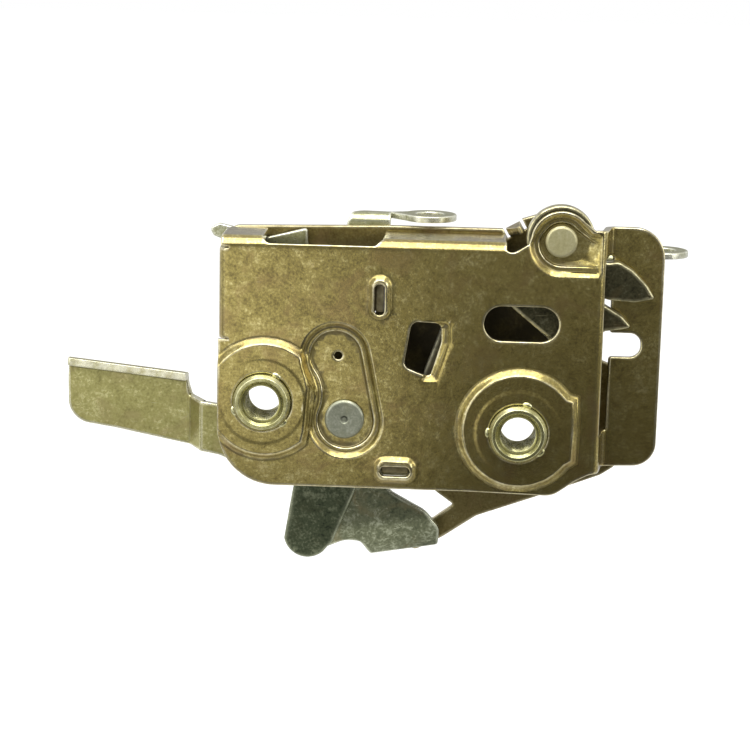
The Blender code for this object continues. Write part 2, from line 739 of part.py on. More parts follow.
def release_lever(finish):
    """The inside release lever: hub, arm under the left bush, set-back paddle with its flange."""
    start, up, along = paddle_line()
    neck = -0.0801
    edge = FORK_Y
    set_angle = math.radians(50)
    set_r = 0.0014
    set_run = (PADDLE_BACK - 2 * set_r * (1 - math.cos(set_angle))) / math.sin(set_angle)
    set_back = Fold((neck, 0), (-1, 0),
                    [(set_r * set_angle, set_angle), (set_run, 0.0), (set_r * set_angle, -set_angle)],
                    (-0.02, 0.02))
    length = 2 * set_r * set_angle + set_run
    grow = length - set_back.place(length, 0.0)[0]
    inner_r = 0.0007
    flange = Fold(start - grow * along, up, [(inner_r * math.pi / 2, -math.pi / 2)], (-0.035, 0.002),
                  where=lambda u, v: u < -0.0835)
    tip = PADDLE_FLANGE - LEVER_SHEET / 2
    left = PADDLE_LEFT - grow
    top_left = start - grow * along + up * tip
    top_right = start + 0.0308 * along - grow * along + up * tip
    step = top_right - up * tip
    hub_low = arc(LEVER_X, LEVER_Z, LEVER_HUB_R, -110, -60)
    outline = arc(LEVER_X, LEVER_Z, LEVER_HUB_R, -60, 12)
    outline += rounded([
        outline[-1], (-0.0325, 0.0061, 0.001), (-0.0276, 0.0061, 0.0010), (-0.0272, 0.0098, 0.0014),
        (-0.0330, 0.0112, 0.004), (LEVER_X + 0.004, LEVER_Z + 0.0085),
    ])[1:-1]
    outline += arc(LEVER_X, LEVER_Z, LEVER_HUB_R, 70, 160)
    outline += rounded([
        outline[-1], (-0.0560, -0.0052, 0.003), (-0.0690, -0.0067, 0.004), (-0.0742, -0.0022, 0.003),
        (-0.0752, 0.0037, 0.001), (neck, 0.0044, 0.002), (step.x + 0.0006, 0.0050, 0.0008),
        tuple(step + up * 0.0004), tuple(top_right), (*top_left, 0.0008),
        (left, 0.0095, 0.0004), (left, -0.0022, 0.0062), (left + 0.0120, -0.0040, 0.004),
        (neck - length - 0.0005, -0.0075, 0.003), (neck + 0.004, -0.0093, 0.003),
        (-0.0680, -0.0128, 0.006), (-0.0560, -0.0132, 0.005), hub_low[0],
    ])[1:-1]
    outline += hub_low[:-1]
    hole = circle(LEVER_X, LEVER_Z, LEVER_PIN_R + SLIDE_GAP / 2, 32)
    mesh = sheet_mesh(outline, [hole], LEVER_SHEET, edge, folds=[flange, set_back])
    return put("release_lever", mesh, finish, (LEVER_X, edge, LEVER_Z))


def outside_lever(finish):
    """The outside release lever: a flat tab that hangs below the housing."""
    hub = arc(LEVER_X, LEVER_Z, LEVER_HUB_R, 0, 190)
    outline = hub + rounded([
        hub[-1], (-0.0571, -0.0181, 0.02), (-0.0590, -0.0310, 0.004), (-0.0572, -0.0361, 0.0030),
        (-0.0505, -0.0368, 0.0030), (-0.0471, -0.0330, 0.004), (-0.0410, -0.0183, 0.02),
        (-0.0374, -0.0060, 0.006), hub[0],
    ])[1:-1]
    hole = circle(LEVER_X, LEVER_Z, LEVER_PIN_R + SLIDE_GAP / 2, 32)
    mesh = sheet_mesh(outline, [hole], LEVER_SHEET, OUTSIDE_Y)
    return put("outside_lever", mesh, finish, (LEVER_X, OUTSIDE_Y, LEVER_Z))


def inside_lever(finish):
    """The inside release lever behind it, with a lip rolled back along its lower edge."""
    lip_start = Vector((-0.0417, -0.0272))
    along = Vector((0.985, 0.172)).normalized()
    down = Vector((along.y, -along.x))
    lip = LIP_R * LIP_TURN
    low_left = lip_start + along * 0.0030 + down * lip
    low_right = lip_start + along * 0.0208 + down * lip
    hub = arc(LEVER_X, LEVER_Z, LEVER_HUB_R, -8, 190)
    outline = hub + rounded([
        hub[-1], (-0.0500, -0.0180, 0.01), (-0.0520, -0.0320, 0.003), (-0.0490, -0.0352, 0.0015),
        (-0.0435, -0.0325, 0.006), (-0.0395, -0.0330, 0.002), (*low_left, 0.0008),
        (*low_right, 0.0012), (-0.0192, -0.0285, 0.004), (-0.0230, -0.0238, 0.005),
        (-0.0328, -0.0185, 0.006), (-0.0347, -0.0128, 0.004), hub[0],
    ])[1:-1]
    hole = circle(LEVER_X, LEVER_Z, LEVER_PIN_R + SLIDE_GAP / 2, 32)
    fold = Fold(lip_start, down, [(lip, LIP_TURN)], (-0.02, 0.04))
    mesh = sheet_mesh(outline, [hole], LEVER_SHEET, INSIDE_Y, folds=[fold])
    return put("inside_lever", mesh, finish, (LEVER_X, INSIDE_Y, LEVER_Z))


def rear_plate(finish):
    """The rear plate, whose two tongues and side gusset are folded forward out of the same sheet."""
    left_x, left_z = left_bush_place()
    clear = BUSH_R + 0.0012
    upper_window, upper_fold = upper_tongue()
    lower_window, lower_fold = lower_tongue()
    flap, gusset_fold = side_gusset()
    outline = rounded([
        (PLATE_LEFT + 0.0005, PLATE_BOTTOM - 0.0005, 0.0130), (-0.0250, PLATE_BOTTOM - 0.0008, 0.003),
        (-0.0198, -0.0210), (-0.0156, -0.0240, 0.0006), (-0.0209, -0.0280), (-0.0285, -0.0322, 0.002),
        (-0.0265, -0.0372, 0.002), (-0.0184, -0.0329, 0.01), (-0.0096, -0.0268, 0.004),
        (0.0056, -0.0212, 0.02), (0.0223, -0.0147, 0.004), (0.0265, -0.0118, 0.003),
        (0.0265, 0.0135, 0.0015), (0.0195, 0.0164, 0.003), (0.0195, FORK_Z - 0.006, 0.006),
        (FORK_X + 0.0060, FORK_Z + 0.0030, 0.003), (FORK_X + 0.0022, FORK_Z + 0.0055, 0.003),
        (FORK_X - 0.0030, FORK_Z + 0.0055, 0.003), (FORK_X - 0.0066, FORK_Z + 0.0042, 0.002),
        *flap, (-0.0350, PLATE_TOP + 0.0012, 0.01), (PLATE_LEFT + 0.0005, PLATE_TOP + 0.0002, 0.003),
    ])
    holes = [
        circle(0, 0, clear), circle(left_x, left_z, clear),
        circle(FORK_X, FORK_Z, NECK_R + GAP, 24), circle(LEVER_X, LEVER_Z, NECK_R + GAP, 24),
        circle(SILL_X, SILL_Z, SHAFT_R + GAP, 24), circle(KEY_X, KEY_Z, NECK_R + GAP, 24),
        upper_window, lower_window,
    ]
    folds = [upper_fold, lower_fold, gusset_fold]
    mesh = sheet_mesh(outline, holes, REAR_SHEET, REAR_Y, folds=folds)
    return put("rear_plate", mesh, finish)


def tongue_reach():
    """Flat lengths from a tongue's bend line to its shoulder and to its tip."""
    bend = LUG_BEND_R * math.pi / 2
    shoulder = bend + REAR_Y - LUG_BEND_R - (PLATE_BACK + GAP)
    tip = bend + REAR_Y - LUG_BEND_R - (FIELD_Y + TAB_SINK)
    return bend, shoulder, tip


def upper_tongue():
    """The opening lanced round the upper tongue, and the fold that turns it forward."""
    x, z, _, long = tab_slots()[0]
    bend, shoulder, tip = tongue_reach()
    root = x - REAR_SHEET / 2 - LUG_BEND_R
    shoulder += root
    tip += root
    half = long / 2 - GAP
    room = TONGUE_HALF + LANCE_GAP
    window = rounded([
        (root, z - room), (tip + LANCE_GAP, z - room, 0.001), (tip + LANCE_GAP, z + room, 0.001),
        (root, z + room), (root, z + TONGUE_HALF), (shoulder, z + TONGUE_HALF, 0.0006),
        (shoulder, z + half), (tip, z + half, TAB_CHAMFER), (tip, z - half, TAB_CHAMFER),
        (shoulder, z - half), (shoulder, z - TONGUE_HALF, 0.0006), (root, z - TONGUE_HALF),
    ])
    edge = TONGUE_HALF + LANCE_GAP / 2
    fold = Fold((root, 0), (1, 0), [(bend, -math.pi / 2)], (z - edge, z + edge),
                where=lambda u, v: u < tip + LANCE_GAP / 2 and abs(v - z) < edge)
    return window, fold


def lower_tongue():
    """The opening lanced round the lower tongue, and the fold that turns it forward."""
    x, z, long, _ = tab_slots()[1]
    bend, shoulder, tip = tongue_reach()
    root = z - REAR_SHEET / 2 - LUG_BEND_R
    shoulder += root
    tip += root
    tab_left, tab_right = x - long / 2 + GAP, x + long / 2 - GAP
    left, right = tab_left + 0.0015, tab_right + 0.0011
    out_left, out_right = tab_left - LANCE_GAP, right + LANCE_GAP
    window = rounded([
        (left, root), (left, shoulder), (tab_left, shoulder), (tab_left, tip, TAB_CHAMFER),
        (tab_right, tip, TAB_CHAMFER), (tab_right, shoulder), (right, shoulder, 0.0006), (right, root),
        (out_right, root), (out_right, tip + LANCE_GAP, 0.001), (out_left, tip + LANCE_GAP, 0.001),
        (out_left, root),
    ])
    edge = LANCE_GAP / 2
    fold = Fold((0, root), (0, 1), [(bend, -math.pi / 2)], (-right - edge, -left + edge),
                where=lambda u, v: tab_left - edge < u < right + edge and v < tip + edge)
    return window, fold


def side_gusset():
    """The flap beside the fork's hub: its stretch of the plate's outline, and its fold."""
    along = Vector((math.cos(GUSSET_LEAN), math.sin(GUSSET_LEAN)))
    out = Vector((-along.y, along.x))
    edge = LUG_BEND_R + REAR_SHEET
    bend = LUG_BEND_R * math.pi / 2
    root = Vector((FORK_X - 0.0136, FORK_Z + 0.0010)) - out * edge
    reach = bend + REAR_Y - LUG_BEND_R - FORK_Y

    def p(t, s, *r):
        return (*(root + along * t + out * s), *r)

    flap = [
        p(GUSSET_LONG + RELIEF, edge), p(GUSSET_LONG + RELIEF, 0.0), p(GUSSET_LONG, 0.0),
        p(GUSSET_LONG, reach, 0.0006), p(0.0, edge, 0.0006), p(0.0, 0.0), p(-RELIEF, 0.0), p(-RELIEF, edge),
    ]
    low, high = -RELIEF / 2, GUSSET_LONG + RELIEF / 2
    fold = Fold(root, out, [(bend, -math.pi / 2)], (-high, -low),
                where=lambda u, v: low < (Vector((u, v)) - root).dot(along) < high)
    return flap, fold


def rod_fold(eye_back, tab_z, slit):
    """The right-angle bend that turns a lever's top end back into a level rod eye."""
    r = ROD_LEVER + 0.0008
    start = tab_z - r
    bend_end = start + r * math.pi / 2
    eye_v = bend_end + (eye_back - r)
    fold = Fold((0, start), (0, 1), [(r * math.pi / 2, math.pi / 2)], (-0.05, 0.06), slit=slit)
    return fold, eye_v, bend_end


def sill_lever(finish):
    """The rocker for the sill button's rod, with its level eye above the housing."""
    def p(dx, dz, *r):
        return (SILL_X + dx, SILL_Z + dz, *r)

    neck = SILL_X + SILL_EYE_REACH - ROD_EYE_R - 0.00275
    eye_x = SILL_X + SILL_EYE_REACH
    fold, eye_v, bend_end = rod_fold(SILL_EYE_BACK, SILL_Z + SILL_TAB_RISE, lambda u, v: u > neck)
    hub = arc(SILL_X, SILL_Z, 0.0070, 120, 300)
    eye = arc(eye_x, eye_v, ROD_EYE_R, -150, 150)
    outline = hub + rounded([
        hub[-1], p(0.0095, -0.0015, 0.006), p(0.0158, 0.0080, 0.004), (neck - GAP, SILL_Z + 0.0115),
        (neck - GAP, bend_end + 0.0006), eye[0],
    ])[1:-1]
    outline += eye + rounded([
        eye[-1], (neck - 0.0005, eye_v + 0.0018, 0.003), (neck - 0.0080, eye_v + 0.0030, 0.003),
        (neck - 0.0102, bend_end, 0.003), p(0.0062, 0.0110, 0.004), p(0.0020, 0.0085, 0.004),
        p(-0.0120, 0.0092, 0.010), p(-0.0260, 0.0122, 0.001), p(-0.0286, 0.0110, 0.0014),
        p(-0.0275, 0.0090, 0.0012), p(-0.0120, 0.0035, 0.010), hub[0],
    ])[1:-1]
    holes = [circle(SILL_X, SILL_Z, SHAFT_R + GAP / 2, 24), circle(eye_x, eye_v, ROD_HOLE_R, 24)]
    mesh = sheet_mesh(outline, holes, ROD_LEVER, ROD_Y, folds=[fold])
    return put("sill_lever", mesh, finish, (SILL_X, ROD_Y, SILL_Z))


def key_lever(finish):
    """The lever for the key rod, with its level eye beyond the striker plate."""
    def p(dx, dz, *r):
        return (KEY_X + dx, KEY_Z + dz, *r)

    neck = KEY_X + KEY_EYE_REACH - ROD_EYE_R - 0.00245
    eye_x = KEY_X + KEY_EYE_REACH
    fold, eye_v, bend_end = rod_fold(KEY_EYE_BACK, KEY_Z + KEY_TAB_RISE, lambda u, v: u > neck)
    hub = arc(KEY_X, KEY_Z, 0.0070, 60, 300)
    eye = arc(eye_x, eye_v, ROD_EYE_R, -140, 150)
    outline = hub + rounded([
        hub[-1], p(0.0140, -0.0040, 0.006), (neck - GAP, KEY_Z - 0.0010, 0.002),
        (neck - GAP, bend_end + 0.0006), eye[0],
    ])[1:-1]
    outline += eye + rounded([
        eye[-1], (neck - 0.0005, eye_v + 0.0030, 0.004), (neck - 0.0075, eye_v - 0.002, 0.003),
        (neck - 0.0090, bend_end - 0.002, 0.002), p(0.0120, 0.0052, 0.006), hub[0],
    ])[1:-1]
    holes = [circle(KEY_X, KEY_Z, SHAFT_R + GAP / 2, 24), circle(eye_x, eye_v, ROD_HOLE_R, 24)]
    mesh = sheet_mesh(outline, holes, ROD_LEVER, ROD_Y, folds=[fold])
    return put("key_lever", mesh, finish, (KEY_X, ROD_Y, KEY_Z))


def lock_cam(finish):
    """The inner locking lever on the sill lever's shaft; its upper end shows in the top slot."""
    def p(dx, dz, *r):
        return (SILL_X + dx, SILL_Z + dz, *r)

    start = REAR_Y - SLIDE_GAP - LEVER_SHEET - CAM_BACK
    hub = arc(SILL_X, SILL_Z, 0.0065, -20, 60)
    outline = hub + rounded([
        hub[-1], p(-0.0027, 0.0080, 0.0010), p(-0.0029, 0.0124, 0.0007), p(-0.0139, 0.0096, 0.0007),
        p(-0.0139, 0.0079, 0.0007), p(-0.0100, 0.0058, 0.0020), p(-0.0050, -0.0030, 0.004),
        p(-0.0020, -0.0210, 0.0025),
        p(0.0030, -0.0225, 0.0020), p(0.0045, -0.0110, 0.006), hub[0],
    ])[1:-1]
    hole = circle(SILL_X, SILL_Z, SHAFT_R + GAP / 2, 24)
    mesh = sheet_mesh(outline, [hole], LEVER_SHEET, start)
    return put("lock_cam", mesh, finish, (SILL_X, start, SILL_Z))


def sill_shaft(finish):
    """The shaft through the rear plate that joins the sill lever to the inner cam."""
    cam = REAR_Y - SLIDE_GAP - LEVER_SHEET - CAM_BACK
    profile = [
        (0.0, cam - GAP - 0.0010), (SHAFT_R + 0.0015, cam - GAP - 0.0010), (SHAFT_R + 0.0015, cam - GAP),
        (SHAFT_R, cam - GAP), (SHAFT_R, ROD_Y + ROD_LEVER + GAP), (SHAFT_R + 0.0015, ROD_Y + ROD_LEVER + GAP),
        (SHAFT_R + 0.0010, ROD_Y + ROD_LEVER + 0.0013), (0.0, ROD_Y + ROD_LEVER + 0.0013),
    ]
    return put("sill_shaft", at(turned_mesh(profile, 28), SILL_X, SILL_Z), finish)


def key_rivet(finish):
    """The shouldered rivet that carries the key lever on the rear plate."""
    profile = [
        (0.0, REAR_Y - GAP - RIVET_HEAD), (NECK_R + 0.0018, REAR_Y - GAP - RIVET_HEAD),
        (NECK_R + 0.0018, REAR_Y - GAP), (NECK_R, REAR_Y - GAP), (NECK_R, REAR_BACK + GAP / 2),
        (SHAFT_R, REAR_BACK + GAP / 2), (SHAFT_R, ROD_Y + ROD_LEVER + GAP),
        (SHAFT_R + 0.0016, ROD_Y + ROD_LEVER + GAP), (SHAFT_R + 0.0010, ROD_Y + ROD_LEVER + 0.0013),
        (0.0, ROD_Y + ROD_LEVER + 0.0013),
    ]
    return put("key_rivet", at(turned_mesh(profile, 28), KEY_X, KEY_Z), finish)


def wire_object(name, route, wire, finish):
    """A round wire along a route, with closed ends."""
    curve = bpy.data.curves.new(name, "CURVE")
    curve.dimensions = "3D"
    curve.bevel_depth = wire / 2
    curve.bevel_resolution = 1
    curve.use_fill_caps = True
    spline = curve.splines.new("POLY")
    spline.points.add(len(route) - 1)
    for point, place in zip(spline.points, route):
        point.co = (*place, 1.0)
    piece = bpy.data.objects.new(name, curve)
    bpy.context.scene.collection.objects.link(piece)
    curve.materials.append(finish)
    return piece


def coil_route(x, z, r, start, pitch, turns, first_angle, per_turn=12):
    """Points of a coil about a line along Y."""
    count = round(turns * per_turn)
    route = []
    for i in range(count + 1):
        a = first_angle + 2 * math.pi * i / per_turn
        route.append((x + r * math.cos(a), start + pitch * i / per_turn, z + r * math.sin(a)))
    return route


def torsion_route(x, z, low, turns, fill, first_angle):
    """Wire size and points of a coil round a rivet, from the face at low towards the rear plate."""
    room = (REAR_Y - low - 2 * GAP) * fill
    pitch = room / (turns + WIRE_SHARE)
    wire = pitch * WIRE_SHARE
    r = NECK_R + 0.0018 + wire / 2
    return wire, coil_route(x, z, r, low + GAP + wire / 2, pitch, turns, math.radians(first_angle))


def fork_spring(finish):
    """The torsion spring that opens the fork, round the fork's rivet."""
    wire, coil = torsion_route(FORK_X, FORK_Z, FORK_Y + FORK_THICK, FORK_TURNS, FORK_FILL, 200)
    tail = (FORK_X - 0.0125, coil[0][1], FORK_Z - 0.0060)
    last = coil[-1]
    end = (last[0] + 0.0006, last[1], last[2] - 0.0050)
    return wire_object("fork_spring", [tail] + coil + [end], wire, finish)


def lever_spring(finish):
    """The torsion spring that returns the levers, round the lever rivet."""
    wire, coil = torsion_route(
        LEVER_X, LEVER_Z, WASHER_Y + WASHER_THICK, LEVER_TURNS, LEVER_FILL, 230
    )
    tail = (LEVER_X - 0.0060, coil[0][1], LEVER_Z - 0.0110)
    last = coil[-1]
    end = (last[0] + 0.0104, last[1], last[2] - 0.0128)
    return wire_object("lever_spring", [tail] + coil + [end], wire, finish)


def pawl_spring(finish):
    """The tension spring from the upper lug to the pawl's tail."""
    y = PAWL_Y + PAWL_THICK + GAP + 0.0026
    top = Vector((-0.0343, y, 0.0290))
    low = Vector((-0.0288, y, 0.0034))
    axis = (low - top).normalized()
    side = Vector((0, 1, 0))
    across = axis.cross(side)
    length = (low - top).length
    lead = 0.0045
    turns, per_turn = 11, 8
    route = [tuple(top)]
    coil_length = length - 2 * lead
    for i in range(turns * per_turn + 1):
        a = 2 * math.pi * i / per_turn
        centre = top + axis * (lead + coil_length * i / (turns * per_turn))
        route.append(tuple(centre + (across * math.cos(a) + side * math.sin(a)) * 0.0019))
    hook = PAWL_Y + PAWL_THICK + FINE_WIRE / 2 + GAP
    route += [tuple(low - axis * 0.0012), (low.x, hook, low.z)]
    return wire_object("pawl_spring", route, FINE_WIRE, finish)


def clear_scene():
    for piece in list(bpy.data.objects):
        bpy.data.objects.remove(piece, do_unlink=True)


def main():
    """Builds the lock from its housing to its springs."""
    clear_scene()
    zinc = material("yellow_zinc", (0.36, 0.31, 0.14), 0.38)
    brown = material("yellow_zinc_rear", (0.26, 0.22, 0.10), 0.42)
    gold = material("yellow_zinc_lever", (0.46, 0.42, 0.17), 0.36)
    dark = material("dark_zinc", (0.13, 0.14, 0.11), 0.45)
    grey = material("rivet_steel", (0.42, 0.42, 0.37), 0.45)
    pale = material("pale_zinc", (0.58, 0.58, 0.46), 0.38)
    wire = material("spring_wire", (0.30, 0.30, 0.29), 0.35)
    front_plate(zinc)
    rear_plate(brown)
    bush("right_bush", 0.0, 0.0, gold)
    bush("left_bush", *left_bush_place(), gold)
    fork(dark)
    rivet("fork_rivet", FORK_X, FORK_Z, pale, FORK_HEAD_R, FORK_PIN_R, FORK_Y + FORK_THICK)
    fork_spring(wire)
    pawl(brown)
    pawl_clip(wire)
    pawl_spring(wire)
    release_lever(gold)
    outside_lever(dark)
    inside_lever(dark)
    rivet("lever_rivet", LEVER_X, LEVER_Z, grey, LEVER_HEAD_R, LEVER_PIN_R, WASHER_Y - GAP / 2, 0.0006)
    lever_washer(wire)
    lever_spring(wire)
    sill_lever(pale)
    sill_shaft(grey)
    lock_cam(pale)
    key_lever(pale)
    key_rivet(grey)


if __name__ == "__main__":
    main()
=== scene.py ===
"""The car door lock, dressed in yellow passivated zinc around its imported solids.

Every size here is in millimetres in the lock's own frame: +X to the striker side, +Z up and +Y into
the door, with the origin on the right bush's axis at the plane of the two bosses. Meshes are scaled to
metres as they are made. Node trees read places in metres.
"""

import logging
import math
from collections.abc import Callable, Sequence
from dataclasses import dataclass, field
from enum import Enum

import bmesh
import bpy
import numpy as np
from mathutils import Matrix, Vector
from mathutils.geometry import delaunay_2d_cdt


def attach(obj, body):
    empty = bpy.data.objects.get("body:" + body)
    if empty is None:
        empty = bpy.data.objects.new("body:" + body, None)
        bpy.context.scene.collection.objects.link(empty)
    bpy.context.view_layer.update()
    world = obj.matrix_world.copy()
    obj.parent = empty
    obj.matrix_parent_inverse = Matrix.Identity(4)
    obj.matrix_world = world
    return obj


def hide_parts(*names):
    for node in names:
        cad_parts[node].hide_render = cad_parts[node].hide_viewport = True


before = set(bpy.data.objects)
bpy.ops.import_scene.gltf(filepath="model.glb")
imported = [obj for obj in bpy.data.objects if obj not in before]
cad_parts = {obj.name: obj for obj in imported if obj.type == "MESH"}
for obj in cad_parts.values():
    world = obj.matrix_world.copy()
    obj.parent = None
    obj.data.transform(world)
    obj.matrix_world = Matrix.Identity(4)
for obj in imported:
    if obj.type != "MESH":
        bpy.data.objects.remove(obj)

LOG = logging.getLogger("door_lock")
Point = tuple[float, float]
Corner = tuple[float, ...]
Outline = list[Point]
Place = tuple[float, float, float]
Test = Callable[[np.ndarray, np.ndarray], np.ndarray]
Socket = bpy.types.NodeSocket
Inputs = dict[int | str, object]

MM = 0.001
QUARTER = math.pi / 2  # a bend or turn of 90 degrees
ARC_STEP = math.radians(7)  # largest turn between two points of an arc
FOLD_STEP = math.radians(9)  # the same for a bent sheet
SHARP_EDGE = math.radians(50)
GAP = 0.3  # room between pieces that touch
PLAY = 0.15  # room in a turning fit
SHEET = 1.6
HEAVY_SHEET = 2.0
BUSH_R = 7.3
NECK_R = 3.0
FIELD_Y = 1.5
FLOOR_BACK = 4.9
FORK_Y = 5.2
FORK_THICK = 4.0
OUTSIDE_Y = 7.5
INSIDE_Y = 9.8
WASHER_Y = 12.1
REAR_Y = 18.0
REAR_BACK = 20.0
ROD_Y = 20.3
CAM_Y = REAR_Y - GAP - 3.2
RIGHT_BUSH: Point = (0.0, 0.0)
LEFT_BUSH: Point = (-64.56, 6.12)
FORK_PIVOT: Point = (9.1, 48.5)
LEVER_PIVOT: Point = (-43.9, 1.7)
SILL_PIVOT: Point = (-52.0, 36.0)
KEY_PIVOT: Point = (4.0, 36.0)


def arc(centre: Point, r: float, start: float, end: float) -> Outline:
    """Points of an arc.

    Args:
        centre: Middle of the arc.
        r: Its radius.
        start: First angle in degrees.
        end: Last angle in degrees.

    Returns:
        The points, both ends included.
    """
    a0, a1 = math.radians(start), math.radians(end)
    count = max(1, math.ceil(abs(a1 - a0) / ARC_STEP))
    turns = [a0 + (a1 - a0) * i / count for i in range(count + 1)]
    return [(centre[0] + r * math.cos(a), centre[1] + r * math.sin(a)) for a in turns]


def circle(centre: Point, r: float, sides: int = 48) -> Outline:
    """Points of a full circle, counter-clockwise."""
    turns = [2 * math.pi * i / sides for i in range(sides)]
    return [(centre[0] + r * math.cos(a), centre[1] + r * math.sin(a)) for a in turns]


def pin_hole(centre: Point, r: float = NECK_R + GAP) -> Outline:
    """The hole for a rivet's neck or a lever's pin."""
    return circle(centre, r, 32)


def rounded(corners: Sequence[Corner]) -> Outline:
    """A closed outline with some of its corners rounded.

    Args:
        corners: Corners (x, z), which stay sharp, and (x, z, r), which become arcs.

    Returns:
        The outline's points.
    """
    most = 0.49  # share of a side that one corner may take
    points: Outline = []
    for i, corner in enumerate(corners):
        here = Vector(corner[:2])
        if len(corner) == 2:
            points.append(tuple(here))
            continue
        before = Vector(corners[i - 1][:2]) - here
        after = Vector(corners[(i + 1) % len(corners)][:2]) - here
        half = before.angle(after) / 2
        reach = min(corner[2] / math.tan(half), most * before.length, most * after.length)
        radius = reach * math.tan(half)
        start = here + before.normalized() * reach
        end = here + after.normalized() * reach
        middle = here + (before.normalized() + after.normalized()).normalized() * radius / math.sin(half)
        first, last = start - middle, end - middle
        turn = first.angle_signed(last)
        count = max(1, math.ceil(abs(turn) / ARC_STEP))
        for k in range(count + 1):
            spoke = first.copy()
            spoke.rotate(Matrix.Rotation(-turn * k / count, 2))
            points.append(tuple(middle + spoke))
    return points


def stadium(centre: Point, wide: float, high: float) -> Outline:
    """A level slot with full-round ends."""
    r, run = high / 2, (wide - high) / 2
    return arc((centre[0] + run, centre[1]), r, -90, 90) + arc((centre[0] - run, centre[1]), r, 90, 270)


def soft_box(centre: Point, wide: float, high: float, r: float) -> Outline:
    """A rectangle with rounded corners."""
    (cx, cz), x, z = centre, wide / 2, high / 2
    return rounded([(cx + x, cz + z, r), (cx - x, cz + z, r), (cx - x, cz - z, r), (cx + x, cz - z, r)])


def inset(outline: Outline, distance: float) -> Outline:
    """An outline moved to its left side.

    Args:
        outline: The points, closed.
        distance: How far to move, negative for the other side.

    Returns:
        The moved points.
    """
    shortest, sharpest = 1e-5, 0.5
    moved: Outline = []
    for i, point in enumerate(outline):
        here = Vector(point)
        before = here - Vector(outline[i - 1])
        after = Vector(outline[(i + 1) % len(outline)]) - here
        if before.length < shortest or after.length < shortest:
            continue
        n0 = Vector((-before.y, before.x)).normalized()
        n1 = Vector((-after.y, after.x)).normalized()
        mean = (n0 + n1).normalized()
        moved.append(tuple(here + mean * distance / max(mean.dot(n0), sharpest)))
    return moved


def depth_inside(points: np.ndarray, outline: Outline) -> np.ndarray:
    """Distance of points to an outline.

    Args:
        points: An array of shape (n, 2).
        outline: The closed outline.

    Returns:
        One distance a point, positive inside and negative outside.
    """
    ends = np.array(outline)
    best = np.full(len(points), np.inf)
    inside = np.zeros(len(points), bool)
    x, z = points[:, 0], points[:, 1]
    for (ax, az), (bx, bz) in zip(np.roll(ends, 1, axis=0), ends):
        dx, dz = bx - ax, bz - az
        length = dx * dx + dz * dz
        if length == 0:
            continue
        t = np.clip(((x - ax) * dx + (z - az) * dz) / length, 0, 1)
        best = np.minimum(best, np.hypot(x - ax - t * dx, z - az - t * dz))
        if az != bz:
            inside ^= ((az > z) != (bz > z)) & (x < ax + dx * (z - az) / dz)
    return np.where(inside, best, -best)


@dataclass
class Press:
    """A form pressed into a sheet, deeper than the field where depth is positive."""

    rim: Outline
    ramp: float
    depth: float
    fade: Point | None = None
    steps: tuple[float, ...] = (-0.08, 0.0, 0.08, 0.2, 0.35, 0.5, 0.65, 0.8, 0.92, 1.0, 1.08)
    knee: float = 0.5

    def rings(self) -> list[Outline]:
        """Outlines along which the form's slope is cut into facets."""
        return [inset(self.rim, self.ramp * step) for step in self.steps]

    def at(self, points: np.ndarray) -> np.ndarray:
        """Depth of the form at flat points.

        Args:
            points: An array of shape (n, 2).

        Returns:
            One depth a point.
        """
        t = np.clip(depth_inside(points, self.rim) / self.ramp, 0, 1)
        near, far = t * t / self.knee, 1 - (1 - t) ** 2 / (1 - self.knee)
        depth = self.depth * np.where(t < self.knee, near, far)
        if self.fade:
            low, high = self.fade
            depth *= np.clip((high - points[:, 0]) / (high - low), 0, 1)
        return depth


